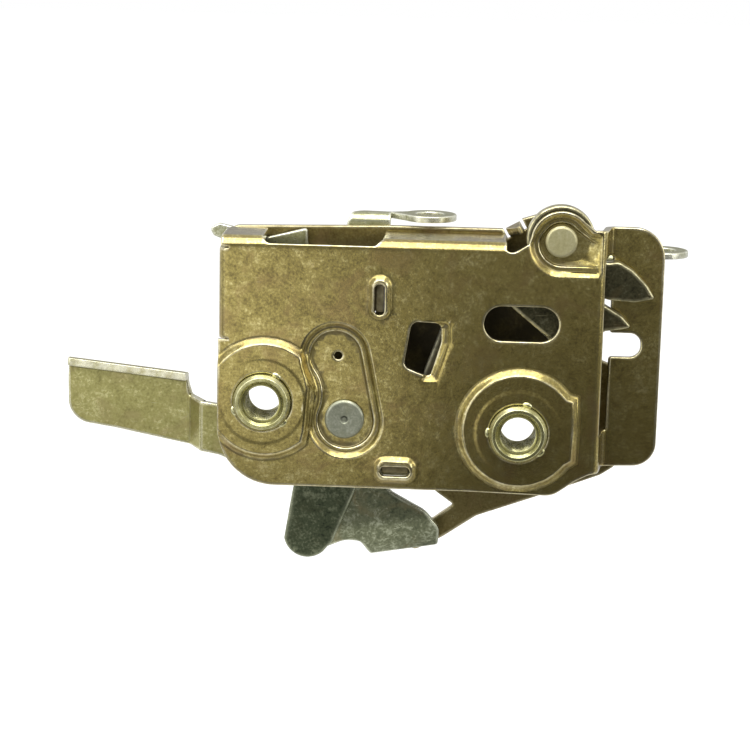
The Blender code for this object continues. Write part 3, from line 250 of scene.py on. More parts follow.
@dataclass
class Fold:
    """A bend of a flat blank past a line, made of runs of length and turn."""

    start: Point
    direction: Point
    runs: list[Point]
    reach: Point
    where: Test | None = None
    slit: Test | None = None

    def normal(self) -> Vector:
        """Direction out across the line."""
        return Vector(self.direction).normalized()

    def total(self) -> Point:
        """Length and turn of all the runs together."""
        return sum(run[0] for run in self.runs), sum(run[1] for run in self.runs)

    def growth(self) -> float:
        """How much longer the runs are than the way they lead out."""
        length = self.total()[0]
        return length - float(self.place(np.array([length]), np.zeros(1))[0][0])

    def place(self, s: np.ndarray, w: np.ndarray) -> tuple[np.ndarray, np.ndarray]:
        """Bends points of the sheet.

        Args:
            s: Distances past the line in the blank.
            w: Depths into the sheet.

        Returns:
            Distances out and depths after the bend.
        """
        a, b, heading = np.zeros_like(s), np.zeros_like(s), np.zeros_like(s)
        left = s.copy()
        for length, turn in self.runs:
            part = np.clip(left, 0, length)
            angle = turn * part / length
            if turn:
                radius = length / turn
                a += radius * (np.sin(heading + angle) - np.sin(heading))
                b += radius * (np.cos(heading) - np.cos(heading + angle))
            else:
                a += part * np.cos(heading)
                b += part * np.sin(heading)
            heading += angle
            left = left - part
        a += left * np.cos(heading)
        b += left * np.sin(heading)
        return a - w * np.sin(heading), b + w * np.cos(heading)

    def bend(self, points: np.ndarray, keys: np.ndarray) -> np.ndarray:
        """Bends an array of points.

        Args:
            points: Places (x, z, y), of shape (n, 3).
            keys: The flat points that decide which side of a slit each one is on.

        Returns:
            The places after the bend.
        """
        n = self.normal()
        s = (points[:, 0] - self.start[0]) * n.x + (points[:, 1] - self.start[1]) * n.y
        out, depth = self.place(s, points[:, 2])
        u, v = keys[:, 0], keys[:, 1]
        active = np.ones(len(s), bool) if self.where is None else self.where(u, v)
        if self.slit is not None:
            length, heading = self.total()
            end_a, end_b = self.place(np.full_like(s, length), points[:, 2])
            beyond = self.slit(u, v)
            out = np.where(beyond, end_a + (s - length) * math.cos(heading), out)
            depth = np.where(beyond, end_b + (s - length) * math.sin(heading), depth)
        moved = points.copy()
        moved[:, 0] += n.x * (out - s)
        moved[:, 1] += n.y * (out - s)
        moved[:, 2] = depth
        return np.where(active[:, None], moved, points)

    def guides(self) -> list[Outline]:
        """Lines across the blank where the bend is cut into facets.

        Returns:
            Their two ends each.
        """
        n = self.normal()
        along = Vector((-n.y, n.x))
        marks, s = [0.0], 0.0
        for length, turn in self.runs:
            parts = max(1, round(abs(turn) / FOLD_STEP))
            marks += [s + length * (i + 1) / parts for i in range(parts)]
            s += length
        feet = [Vector(self.start) + n * mark for mark in marks]
        return [[tuple(foot + along * t) for t in self.reach] for foot in feet]


@dataclass
class Sheet:
    """A punched, pressed and folded sheet with a rolled front edge."""

    outline: Outline
    thick: float
    front_y: float
    holes: list[Outline] = field(default_factory=list)
    presses: list[Press] = field(default_factory=list)
    folds: list[Fold] = field(default_factory=list)
    roll: float = 0.32
    burr: float = 0.12
    grid: float = 1.5
    second_row: float = 2.6

    def loose_points(self, rim: Outline, eyes: list[Outline]) -> list[Vector]:
        """Points between the outlines that keep the triangles small.

        Args:
            rim: The blank's outer outline.
            eyes: Outlines of its holes.

        Returns:
            The points.
        """
        clear = self.grid * 0.7
        low, high = np.min(rim, axis=0), np.max(rim, axis=0)
        rows = np.arange(low[1], high[1], self.grid)
        cells = [(x + (i % 2) * self.grid / 2, z) for i, z in enumerate(rows)
                 for x in np.arange(low[0], high[0], self.grid)]
        spots = np.array(cells)
        keep = depth_inside(spots, rim) > clear
        for eye in eyes:
            keep &= depth_inside(spots, eye) < -clear
        return [Vector(spot) for spot in spots[keep].tolist()]

    def flat(self) -> tuple[np.ndarray, np.ndarray]:
        """Cuts the flat blank into triangles.

        Returns:
            The blank's points (n, 2) and its triangles (m, 3).
        """
        rim = inset(self.outline, self.roll)
        eyes = [inset(hole, -self.roll) for hole in self.holes]
        lines = [(rim, True), (inset(self.outline, self.roll * self.second_row), True)]
        for hole, eye in zip(self.holes, eyes):
            lines += [(eye, True), (inset(hole, -self.roll * self.second_row), True)]
        lines += [(ring, True) for press in self.presses for ring in press.rings()]
        lines += [(line, False) for fold in self.folds for line in fold.guides()]
        points: list[Vector] = []
        edges: list[tuple[int, int]] = []
        for line, closed in lines:
            first, count = len(points), len(line)
            points.extend(Vector(p) for p in line)
            edges.extend((first + i, first + (i + 1) % count) for i in range(count if closed else count - 1))
        points.extend(self.loose_points(rim, eyes))
        flat, _, triangles, *_ = delaunay_2d_cdt(points, edges, [], 0, 1e-4)
        uv = np.array([tuple(p) for p in flat])
        tri = np.array(triangles)
        a, b, c = uv[tri[:, 0]], uv[tri[:, 1]], uv[tri[:, 2]]
        area = (b[:, 0] - a[:, 0]) * (c[:, 1] - a[:, 1]) - (b[:, 1] - a[:, 1]) * (c[:, 0] - a[:, 0])
        middle = (a + b + c) / 3
        keep = (area > 1e-7) & (depth_inside(middle, rim) > 0)
        for eye in eyes:
            keep &= depth_inside(middle, eye) < 0
        used, tri = np.unique(tri[keep], return_inverse=True)
        return uv[used], tri.reshape(-1, 3)

    def bent(self, uv: np.ndarray, w: np.ndarray, keys: np.ndarray, pressed: np.ndarray) -> np.ndarray:
        """Places of sheet points after pressing and folding.

        Args:
            uv: Flat places of the points.
            w: Depths into the sheet.
            keys: Flat places that decide on which side of a slit they are.
            pressed: Depth of the pressed forms there.

        Returns:
            Places (x, y, z) in millimetres.
        """
        points = np.column_stack([uv, w + pressed])
        for fold in self.folds:
            points = fold.bend(points, keys)
        return np.column_stack([points[:, 0], points[:, 2] + self.front_y, points[:, 1]])

    @staticmethod
    def edge_normals(uv: np.ndarray, border: list[tuple[int, int]]) -> dict[int, np.ndarray]:
        """Directions out of the blank along its edges.

        Args:
            uv: The blank's points.
            border: Pairs of points along its edges.

        Returns:
            For each point of the border its direction, longer at a corner.
        """
        sums: dict[int, list[np.ndarray]] = {}
        for a, b in border:
            d = uv[b] - uv[a]
            n = np.array([d[1], -d[0]]) / max(np.hypot(*d), 1e-9)
            sums.setdefault(a, []).append(n)
            sums.setdefault(b, []).append(n)
        outward = {}
        for k in sorted(sums):
            mean = np.sum(sums[k], axis=0)
            mean /= max(np.hypot(*mean), 1e-9)
            outward[k] = mean / max(float(mean @ sums[k][0]), 0.6)
        return outward

    def mesh(self, name: str) -> bpy.types.Mesh:
        """Builds the sheet as one closed mesh.

        Args:
            name: The mesh's name.

        Returns:
            The mesh, in metres.
        """
        uv, tri = self.flat()
        pressed = sum((press.at(uv) for press in self.presses), np.zeros(len(uv)))
        count = len(uv)
        places = [self.bent(uv, np.full(count, w), uv, pressed) for w in (0.0, self.thick)]
        directed = {(int(t[i]), int(t[(i + 1) % 3])) for t in tri for i in range(3)}
        border = [(a, b) for a, b in directed if (b, a) not in directed]
        normals = self.edge_normals(uv, border)
        base, outward = np.array(list(normals)), np.array(list(normals.values()))
        index = {k: i for i, k in enumerate(normals)}
        r, rb, t = self.roll, self.burr, self.thick
        profile = [(r * math.sin(a), r * (1 - math.cos(a))) for a in np.radians([30, 60, 90])]
        profile += [(r, t - rb), (r - 0.3 * rb, t - 0.3 * rb), (r - rb, t)]
        rings = [base]
        for k, (out, w) in enumerate(profile):
            places.append(self.bent(uv[base] + outward * out, np.full(len(base), w), uv[base], pressed[base]))
            rings.append(2 * count + k * len(base) + np.arange(len(base)))
        rings.append(base + count)
        faces = [tuple(t) for t in tri.tolist()]
        faces += [(a + count, c + count, b + count) for a, b, c in tri.tolist()]
        for a, b in border:
            i, j = index[a], index[b]
            for low, high in zip(rings, rings[1:]):
                faces.append((int(low[j]), int(low[i]), int(high[i]), int(high[j])))
        mesh = bpy.data.meshes.new(name)
        mesh.from_pydata((np.vstack(places) * MM).tolist(), [], faces)
        mesh.update()
        return mesh


def turned(
    name: str,
    profile: Outline,
    centre: Point,
    sides: int = 64,
    ripple: Callable[[float, float, float], float] | None = None,
) -> bpy.types.Mesh:
    """A turned piece about a line along Y.

    Args:
        name: The mesh's name.
        profile: Closed outline of (radius, y).
        centre: The axis's x and z.
        sides: Facets round the axis.
        ripple: Gives a new radius from a radius, a y and an angle.

    Returns:
        The mesh, in metres.
    """
    places, faces = [], []
    count = len(profile)
    for k in range(sides):
        a, n = 2 * math.pi * k / sides, (k + 1) % sides
        for i, (r, y) in enumerate(profile):
            r_here = ripple(r, y, a) if ripple else r
            places.append((
                (centre[0] + r_here * math.cos(a)) * MM, y * MM, (centre[1] + r_here * math.sin(a)) * MM
            ))
            j = (i + 1) % count
            faces.append((k * count + i, k * count + j, n * count + j, n * count + i))
    mesh = bpy.data.meshes.new(name)
    mesh.from_pydata(places, [], faces)
    bm = bmesh.new()
    bm.from_mesh(mesh)
    bmesh.ops.remove_doubles(bm, verts=bm.verts, dist=1e-7)
    bmesh.ops.dissolve_degenerate(bm, edges=bm.edges, dist=1e-7)
    bmesh.ops.recalc_face_normals(bm, faces=bm.faces)
    bm.to_mesh(mesh)
    bm.free()
    return mesh


def mark_crests(mesh: bpy.types.Mesh) -> None:
    """Stores how convex or hollow a mesh is, for wear and for painted shade in hollows.

    Args:
        mesh: The mesh, which gets a float attribute named crest.
    """
    shortest, near, full = 0.05, 0.3, 0.9
    count = len(mesh.vertices)
    co = np.zeros(count * 3)
    mesh.vertices.foreach_get("co", co)
    co = co.reshape(-1, 3) / MM
    normals = np.zeros(count * 3, np.float32)
    mesh.vertex_normals.foreach_get("vector", normals)
    normals = normals.reshape(-1, 3).astype(float)
    ends = np.zeros(len(mesh.edges) * 2, int)
    mesh.edges.foreach_get("vertices", ends)
    a, b = ends.reshape(-1, 2).T
    d = co[b] - co[a]
    length = np.maximum(np.linalg.norm(d, axis=1), shortest)
    bow = np.einsum("ij,ij->i", normals[b] - normals[a], d) / length**2
    weight = 1 / (near + length)
    total, share = np.zeros(count), np.zeros(count)
    for end in (a, b):
        np.add.at(total, end, bow * weight)
        np.add.at(share, end, weight)
    crest = np.clip(total / np.maximum(share, 1e-9) * full, -1, 1)
    attribute = mesh.attributes.new("crest", "FLOAT", "POINT")
    attribute.data.foreach_set("value", crest.astype(np.float32))


class Slot(Enum):
    """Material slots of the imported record."""

    YELLOW = "yellow_zinc"
    REAR = "yellow_zinc_rear"
    LEVER = "yellow_zinc_lever"
    DARK = "dark_zinc"
    RIVET = "rivet_steel"
    PALE = "pale_zinc"
    WIRE = "spring_wire"


@dataclass
class Wiring:
    """Adds linked nodes to one shader tree."""

    tree: bpy.types.NodeTree

    def feed(self, node: bpy.types.Node, inputs: Inputs) -> None:
        """Fills a node's inputs.

        Args:
            node: The node.
            inputs: For each input, a socket to link or a value to set.
        """
        for label, value in inputs.items():
            if isinstance(value, Socket):
                self.tree.links.new(value, node.inputs[label])
            else:
                node.inputs[label].default_value = value

    def put(self, kind: str, inputs: Inputs | None = None, **settings: object) -> bpy.types.Node:
        """Adds a node.

        Args:
            kind: Its type, without the leading ShaderNode.
            inputs: What its inputs get.
            settings: Its own properties.

        Returns:
            The node.
        """
        node = self.tree.nodes.new("ShaderNode" + kind)
        for label, value in settings.items():
            setattr(node, label, value)
        self.feed(node, inputs or {})
        return node

    def place(self) -> Socket:
        """Object coordinates, which move with a piece."""
        return self.put("TexCoord").outputs["Object"]

    def axes(self, vector: Socket) -> bpy.types.NodeOutputs:
        """The X, Y and Z of a vector."""
        return self.put("SeparateXYZ", {0: vector}).outputs

    def noise(
        self, vector: Socket, scale: float, detail: float, rough: float = 0.55, warp: float = 0.0
    ) -> Socket:
        """A noise texture's value, with its scale counted in a metre."""
        inputs = {"Vector": vector, "Scale": scale, "Detail": detail, "Roughness": rough, "Distortion": warp}
        return self.put("TexNoise", inputs).outputs["Fac"]

    def spread(
        self, value: Socket, low: float, high: float, to_low: float = 0.0, to_high: float = 1.0
    ) -> Socket:
        """Maps a value smoothly, so that low becomes to_low and high becomes to_high."""
        inputs = {"Value": value, "From Min": low, "From Max": high, "To Min": to_low, "To Max": to_high}
        return self.put("MapRange", inputs, interpolation_type="SMOOTHSTEP").outputs["Result"]

    def calc(self, how: str, a: Socket, b: Socket | float, clamp: bool = False) -> Socket:
        """The result of a Math node, kept between 0 and 1 if it is clamped."""
        return self.put("Math", {0: a, 1: b}, operation=how, use_clamp=clamp).outputs[0]

    def times(self, a: Socket, b: Socket | float, clamp: bool = False) -> Socket:
        """A product."""
        return self.calc("MULTIPLY", a, b, clamp)

    def plus(self, first: Socket, *more: Socket) -> Socket:
        """The sum of some values.

        Args:
            first: The first value.
            more: The others.

        Returns:
            Their sum.
        """
        for value in more:
            first = self.calc("ADD", first, value)
        return first

    def blend(self, share: Socket, a: Socket, b: Socket | Corner) -> Socket:
        """A colour between a and b, with b's share."""
        return self.put("Mix", {"Factor": share, 6: a, 7: b}, data_type="RGBA").outputs[2]

    def group(self, maker: Callable[[], bpy.types.NodeTree], inputs: Inputs) -> bpy.types.NodeOutputs:
        """Places a shared group named as its maker, which is built once, and gives its outputs."""
        tree = bpy.data.node_groups.get(maker.__name__) or maker()
        return self.put("Group", inputs, node_tree=tree).outputs

    def mix_shaders(self, share: Socket, a: bpy.types.Node, b: bpy.types.Node, end: str) -> None:
        """Mixes two shaders, with b's share, into the tree's output node named end."""
        mixed = self.put("MixShader", {0: share, 1: a.outputs[0], 2: b.outputs[0]})
        self.feed(self.tree.nodes[end], {"Surface": mixed.outputs[0]})


def open_group(
    name: str, inputs: dict[str, object], outputs: dict[str, str]
) -> tuple[Wiring, bpy.types.NodeOutputs, bpy.types.Node]:
    """Starts a shared node group.

    Args:
        name: The group's name.
        inputs: First value of each input, a number or a colour.
        outputs: Type of each output, Float or Color.

    Returns:
        Its wiring, the sockets of its inputs and its output node.
    """
    tree = bpy.data.node_groups.new(name, "ShaderNodeTree")
    for label, value in inputs.items():
        kind = "NodeSocketFloat" if isinstance(value, float) else "NodeSocketColor"
        tree.interface.new_socket(label, in_out="INPUT", socket_type=kind).default_value = value
    for label, kind in outputs.items():
        tree.interface.new_socket(label, in_out="OUTPUT", socket_type="NodeSocket" + kind)
    return Wiring(tree), tree.nodes.new("NodeGroupInput").outputs, tree.nodes.new("NodeGroupOutput")


def passivate_clouds() -> bpy.types.NodeTree:
    """The cloudy colour of chromate on zinc.

    Returns:
        A group that turns four colours into one mottled colour and a cloud value.
    """
    inputs = {"Deep": (0.1, 0.08, 0.03, 1), "Body": (0.2, 0.17, 0.06, 1), "Pale": (0.4, 0.36, 0.2, 1),
              "Tint": (0.25, 0.2, 0.1, 1)}
    wire, start, end = open_group("passivate_clouds", inputs, {"Color": "Color", "Cloud": "Float"})
    place = wire.place()
    broad = wire.noise(place, scale=55.0, detail=2.0, rough=0.5, warp=0.4)
    cloud = wire.noise(place, scale=380.0, detail=4.0, rough=0.62, warp=0.3)
    speck = wire.noise(place, scale=1500.0, detail=3.0, rough=0.65)
    mottle = wire.plus(wire.times(cloud, 0.38), wire.times(broad, 0.20), wire.times(speck, 0.42))
    colour = wire.blend(wire.spread(mottle, 0.52, 0.35), start["Body"], start["Deep"])
    colour = wire.blend(wire.spread(mottle, 0.50, 0.66), colour, start["Pale"])
    stain = wire.spread(wire.noise(place, scale=90.0, detail=3.0, warp=1.0), 0.50, 0.72, 0.0, 0.6)
    wire.feed(end, {"Color": wire.blend(stain, colour, start["Tint"]), "Cloud": mottle})
    return wire.tree


def crest_wear_and_hollow_shade() -> bpy.types.NodeTree:
    """Rubbed crests, which are wear, and painted shade in hollows.

    Returns:
        A group that reads the crest attribute and puts out two masks.
    """
    outputs = {"Rubbed": "Float", "Shaded Hollow": "Float"}
    wire, start, end = open_group("crest_wear_and_hollow_shade", {"Rub": 1.0, "Hollow Shade": 1.0}, outputs)
    bow = wire.put("Attribute", attribute_name="crest").outputs["Fac"]
    place = wire.place()
    broken = wire.spread(wire.noise(place, scale=420.0, detail=4.0, rough=0.65), 0.30, 0.62, 0.35, 1.0)
    patchy = wire.spread(wire.noise(place, scale=260.0, detail=3.0), 0.3, 0.65, 0.5, 1.0)
    rubbed = wire.times(wire.spread(bow, 0.12, 0.85), broken)
    # Painted shade: the hollows are darkened.
    shaded_hollow = wire.times(wire.spread(bow, -0.05, -0.45), patchy)
    wire.feed(end, {"Rubbed": wire.times(rubbed, start["Rub"], True),
                    "Shaded Hollow": wire.times(shaded_hollow, start["Hollow Shade"], True)})
    return wire.tree


def plated_grain() -> bpy.types.NodeTree:
    """The fine tooth of rolled and plated steel, with a few scratches.

    Returns:
        A group that puts out a height and a scratch mask.
    """
    outputs = {"Height": "Float", "Scratch": "Float"}
    wire, start, end = open_group("plated_grain", {"Scratches": 0.5}, outputs)
    place = wire.place()
    fine = wire.noise(place, scale=2600.0, detail=4.0, rough=0.7)
    dents = wire.noise(place, scale=260.0, detail=2.0, rough=0.5)
    stretch = wire.put("Mapping", {"Vector": place, "Rotation": (0.0, math.radians(38), 0.0),
                                   "Scale": (220.0, 900.0, 2600.0)})
    lines = wire.noise(stretch.outputs["Vector"], scale=1.0, detail=3.0, rough=0.6)
    scratch = wire.times(wire.spread(lines, 0.66, 0.74), start["Scratches"], True)
    height = wire.calc("SUBTRACT", wire.plus(wire.times(fine, 0.45), dents), wire.times(scratch, 0.35))
    wire.feed(end, {"Height": height, "Scratch": scratch})
    return wire.tree


def painted_inner_shade() -> bpy.types.NodeTree:
    """Dark painted shade inside the housing.

    Returns:
        A group that puts out a mask, full on faces between the two plates.
    """
    edges = (("X", -0.078, -0.070), ("X", 0.021, 0.015), ("Z", -0.017, -0.008), ("Z", 0.047, 0.041),
             ("Y", 0.0184, 0.0180))
    wire, start, end = open_group("painted_inner_shade", {"Amount": 1.0}, {"Inner Shade": "Float"})
    place = wire.place()
    axes = wire.axes(place)
    # Painted shade, full on faces between the two plates and fading towards the housing's edges.
    mask = start["Amount"]
    for axis, outer, inner in edges:
        mask = wire.times(mask, wire.spread(axes[axis], outer, inner))
    patchy = wire.spread(wire.noise(place, scale=180.0, detail=3.0, rough=0.6), 0.28, 0.55, 0.6, 1.0)
    wire.feed(end, {"Inner Shade": wire.times(mask, patchy, True)})
    return wire.tree


@dataclass(frozen=True)
class Finish:
    """A plated finish: its colours, gloss, wear, painted shade and grain."""

    name: str
    slot: Slot
    deep: Place
    body: Place
    pale: Place
    tint: Place
    rub: Place
    metallic: float = 0.92
    gloss: Point = (0.34, 0.52)
    rubbing: float = 1.0
    # Strength of the painted shade in hollows.
    grime: float = 0.8
    scratches: float = 0.12
    bump: float = 0.10
    # Strength of the painted shade inside the housing.
    grease: float = 0.0
    film: float = 0.0
    # How dark the painted shade is, as a share of the deep colour.
    soot: float = 0.28
    polish: float = 0.08
    dulling: float = 0.2

    def material(self) -> bpy.types.Material:
        """Builds the finish's material.

        Returns:
            The material, made once.
        """
        made = bpy.data.materials.get(self.name)
        if made:
            return made
        made = bpy.data.materials.new(self.name)
        made.use_nodes = True
        wire = Wiring(made.node_tree)
        colours = {"Deep": self.deep, "Body": self.body, "Pale": self.pale, "Tint": self.tint}
        clouds = wire.group(passivate_clouds, {label: (*c, 1.0) for label, c in colours.items()})
        wear = wire.group(crest_wear_and_hollow_shade, {"Rub": self.rubbing, "Hollow Shade": self.grime})
        grain = wire.group(plated_grain, {"Scratches": self.scratches})
        worn = wire.calc("MAXIMUM", wear["Rubbed"], grain["Scratch"], True)
        # Painted shade: hollows, and the housing's inside below, turn darker, duller and less metallic.
        grime = wear["Shaded Hollow"]
        if self.grease:
            inner_shaded = wire.group(painted_inner_shade, {"Amount": self.grease})["Inner Shade"]
            grime = wire.calc("MAXIMUM", grime, inner_shaded)
            worn = wire.times(worn, wire.spread(inner_shaded, 0.0, 1.0, 1.0, 0.25))
        colour = wire.blend(grime, clouds["Color"], (*(c * self.soot for c in self.deep), 1.0))
        rough = wire.spread(clouds["Cloud"], 0.35, 0.68, self.gloss[1], self.gloss[0])
        rough = wire.calc("SUBTRACT", rough, wire.times(worn, self.polish))
        bump = wire.put("Bump", {"Strength": self.bump, "Distance": 0.4 * MM, "Height": grain["Height"]})
        wire.feed(wire.tree.nodes["Principled BSDF"], {
            "Base Color": wire.blend(worn, colour, (*self.rub, 1.0)),
            "Roughness": wire.calc("ADD", rough, wire.times(grime, self.dulling), True),
            "Metallic": wire.spread(grime, 0.0, 1.0, self.metallic, self.metallic * 0.5),
            "Normal": bump.outputs["Normal"],
            "Specular IOR Level": 0.5, "Coat Weight": self.film, "Coat Roughness": 0.22,
        })
        return made


YELLOW_ZINC = Finish("yellow_zinc_pressed", Slot.YELLOW, deep=(0.16, 0.122, 0.032), body=(0.32, 0.258, 0.074),
                     pale=(0.54, 0.47, 0.205), tint=(0.28, 0.198, 0.07), rub=(0.84, 0.79, 0.58),
                     gloss=(0.12, 0.24), rubbing=0.55, film=0.4)
# A darker copy of the yellow zinc: painted shade on the rear plate.
SHADED_REAR_ZINC = Finish("yellow_zinc_shaded", Slot.REAR, deep=(0.1, 0.076, 0.024), body=(0.2, 0.16, 0.058),
                    pale=(0.33, 0.28, 0.12), tint=(0.22, 0.155, 0.07), rub=(0.66, 0.6, 0.38),
                    gloss=(0.26, 0.42), rubbing=0.6, grease=0.92)
# A still darker copy of the rear plate's zinc: painted shade on the pawl between the plates.
SHADED_PAWL_ZINC = Finish("shaded_pawl_zinc", Slot.REAR, deep=(0.06, 0.05, 0.022), body=(0.12, 0.105, 0.05),
                      pale=(0.22, 0.2, 0.11), tint=(0.13, 0.095, 0.045), rub=(0.5, 0.48, 0.34),
                      gloss=(0.26, 0.42), rubbing=0.9, grease=0.8)
FORK_ZINC = Finish("fork_zinc", Slot.DARK, deep=(0.02, 0.018, 0.009), body=(0.075, 0.07, 0.036),
                   pale=(0.21, 0.2, 0.12), tint=(0.12, 0.085, 0.035), rub=(0.62, 0.57, 0.34),
                   gloss=(0.26, 0.46), rubbing=0.85, scratches=0.3)
LEVER_ZINC = Finish("yellow_zinc_green", Slot.LEVER, deep=(0.21, 0.188, 0.05), body=(0.345, 0.318, 0.1),
                    pale=(0.5, 0.47, 0.215), tint=(0.33, 0.27, 0.105), rub=(0.9, 0.88, 0.7),
                    gloss=(0.24, 0.38), rubbing=0.7, film=0.6)
BUSH_ZINC = Finish("bush_zinc", Slot.LEVER, deep=(0.15, 0.138, 0.03), body=(0.3, 0.278, 0.08),
                   pale=(0.49, 0.46, 0.19), tint=(0.26, 0.245, 0.1), rub=(0.84, 0.82, 0.55),
                   gloss=(0.18, 0.32), rubbing=0.6, grime=1.0)
DARK_ZINC = Finish("dark_zinc_lever", Slot.DARK, deep=(0.016, 0.022, 0.013), body=(0.075, 0.09, 0.05),
                   pale=(0.23, 0.25, 0.155), tint=(0.06, 0.062, 0.03), rub=(0.36, 0.38, 0.26),
                   gloss=(0.26, 0.44), scratches=0.35, rubbing=0.9)
DUSTY_ZINC = Finish("dusty_zinc_lever", Slot.DARK, deep=(0.05, 0.062, 0.036), body=(0.16, 0.172, 0.1),
                    pale=(0.39, 0.41, 0.285), tint=(0.26, 0.215, 0.11), rub=(0.66, 0.68, 0.52),
                    gloss=(0.22, 0.38), scratches=0.3, rubbing=0.7)
PALE_ZINC = Finish("pale_zinc_lever", Slot.PALE, deep=(0.2, 0.2, 0.098), body=(0.35, 0.35, 0.205),
                   pale=(0.57, 0.575, 0.42), tint=(0.34, 0.315, 0.165), rub=(0.84, 0.84, 0.72),
                   gloss=(0.24, 0.4), rubbing=0.7)
RIVET_STEEL = Finish("rivet_steel_dull", Slot.RIVET, deep=(0.11, 0.115, 0.08), body=(0.225, 0.235, 0.17),
                     pale=(0.36, 0.37, 0.29), tint=(0.24, 0.23, 0.12), rub=(0.42, 0.43, 0.32),
                     metallic=0.8, gloss=(0.38, 0.54), rubbing=0.3, grime=1.0)
LOBE_STEEL = Finish("rivet_olive", Slot.PALE, deep=(0.27, 0.245, 0.115), body=(0.4, 0.37, 0.195),
                    pale=(0.52, 0.49, 0.3), tint=(0.35, 0.3, 0.15), rub=(0.62, 0.58, 0.38),
                    metallic=0.8, gloss=(0.4, 0.56), rubbing=0.3, grime=1.0)
SPRING_WIRE = Finish("drawn_wire", Slot.WIRE, deep=(0.14, 0.14, 0.135), body=(0.28, 0.28, 0.27),
                     pale=(0.46, 0.46, 0.44), tint=(0.24, 0.23, 0.21), rub=(0.7, 0.7, 0.68),
                     gloss=(0.25, 0.38), rubbing=0.5)


def settle(piece: bpy.types.Object, finish: Finish, body: str, node: str) -> None:
    """Args:
        piece: The piece.
        finish: Its finish.
        body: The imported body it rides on.
        node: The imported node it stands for.
    """
    bpy.context.scene.collection.objects.link(piece)
    piece.data.materials.append(finish.material())
    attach(piece, body)
    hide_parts(node)
    LOG.info("%s rides on %s", piece.name, body)


def dress(mesh: bpy.types.Mesh, finish: Finish, node: str, body: str = "housing") -> None:
    """Turns a mesh into a finished piece of the same name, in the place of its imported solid.

    Args:
        mesh: The mesh, in metres.
        finish: Its finish.
        node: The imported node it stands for.
        body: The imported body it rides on.
    """
    mark_crests(mesh)
    mesh.shade_smooth()
    mesh.set_sharp_from_angle(angle=SHARP_EDGE)
    piece = bpy.data.objects.new(mesh.name, mesh)
    piece.modifiers.new("even_normals", "WEIGHTED_NORMAL").keep_sharp = True
    settle(piece, finish, body, node)


def wire_piece(name: str, route: list[Place], wire: float, node: str) -> None:
    """Adds a spring of round wire to the housing.

    Args:
        name: The piece's name.
        route: Points of its middle line, in millimetres.
        wire: The wire's diameter.
        node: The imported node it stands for.
    """
    curve = bpy.data.curves.new(name, "CURVE")
    curve.dimensions = "3D"
    curve.bevel_depth = wire / 2 * MM
    curve.bevel_resolution = 3
    curve.use_fill_caps = True
    spline = curve.splines.new("POLY")
    spline.points.add(len(route) - 1)
    for point, place in zip(spline.points, route):
        point.co = (place[0] * MM, place[1] * MM, place[2] * MM, 1.0)
    spline.use_smooth = True
    settle(bpy.data.objects.new(name, curve), SPRING_WIRE, "housing", node)


@dataclass
class TorsionSpring:
    """A coil round a rivet's post, from a face towards the rear plate, with two legs."""

    node: str
    centre: Point
    face_y: float
    turns: float
    fill: float
    first: float
    first_leg: Point
    last_leg: Point
    wire_share: float = 0.857
    clear: float = 1.8
    per_turn: int = 40

    def build(self) -> None:
        """Builds the spring."""
        pitch = (REAR_Y - self.face_y - 2 * GAP) * self.fill / (self.turns + self.wire_share)
        wire = pitch * self.wire_share
        r, y = NECK_R + self.clear + wire / 2, self.face_y + GAP + wire / 2
        cx, cz = self.centre
        route = [(cx + self.first_leg[0], y, cz + self.first_leg[1])]
        for i in range(round(self.turns * self.per_turn) + 1):
            a = math.radians(self.first) + 2 * math.pi * i / self.per_turn
            route.append((cx + r * math.cos(a), y + pitch * i / self.per_turn, cz + r * math.sin(a)))
        x, y, z = route[-1]
        route.append((x + self.last_leg[0], y, z + self.last_leg[1]))
        wire_piece(f"{self.node}_coil", route, wire, self.node)


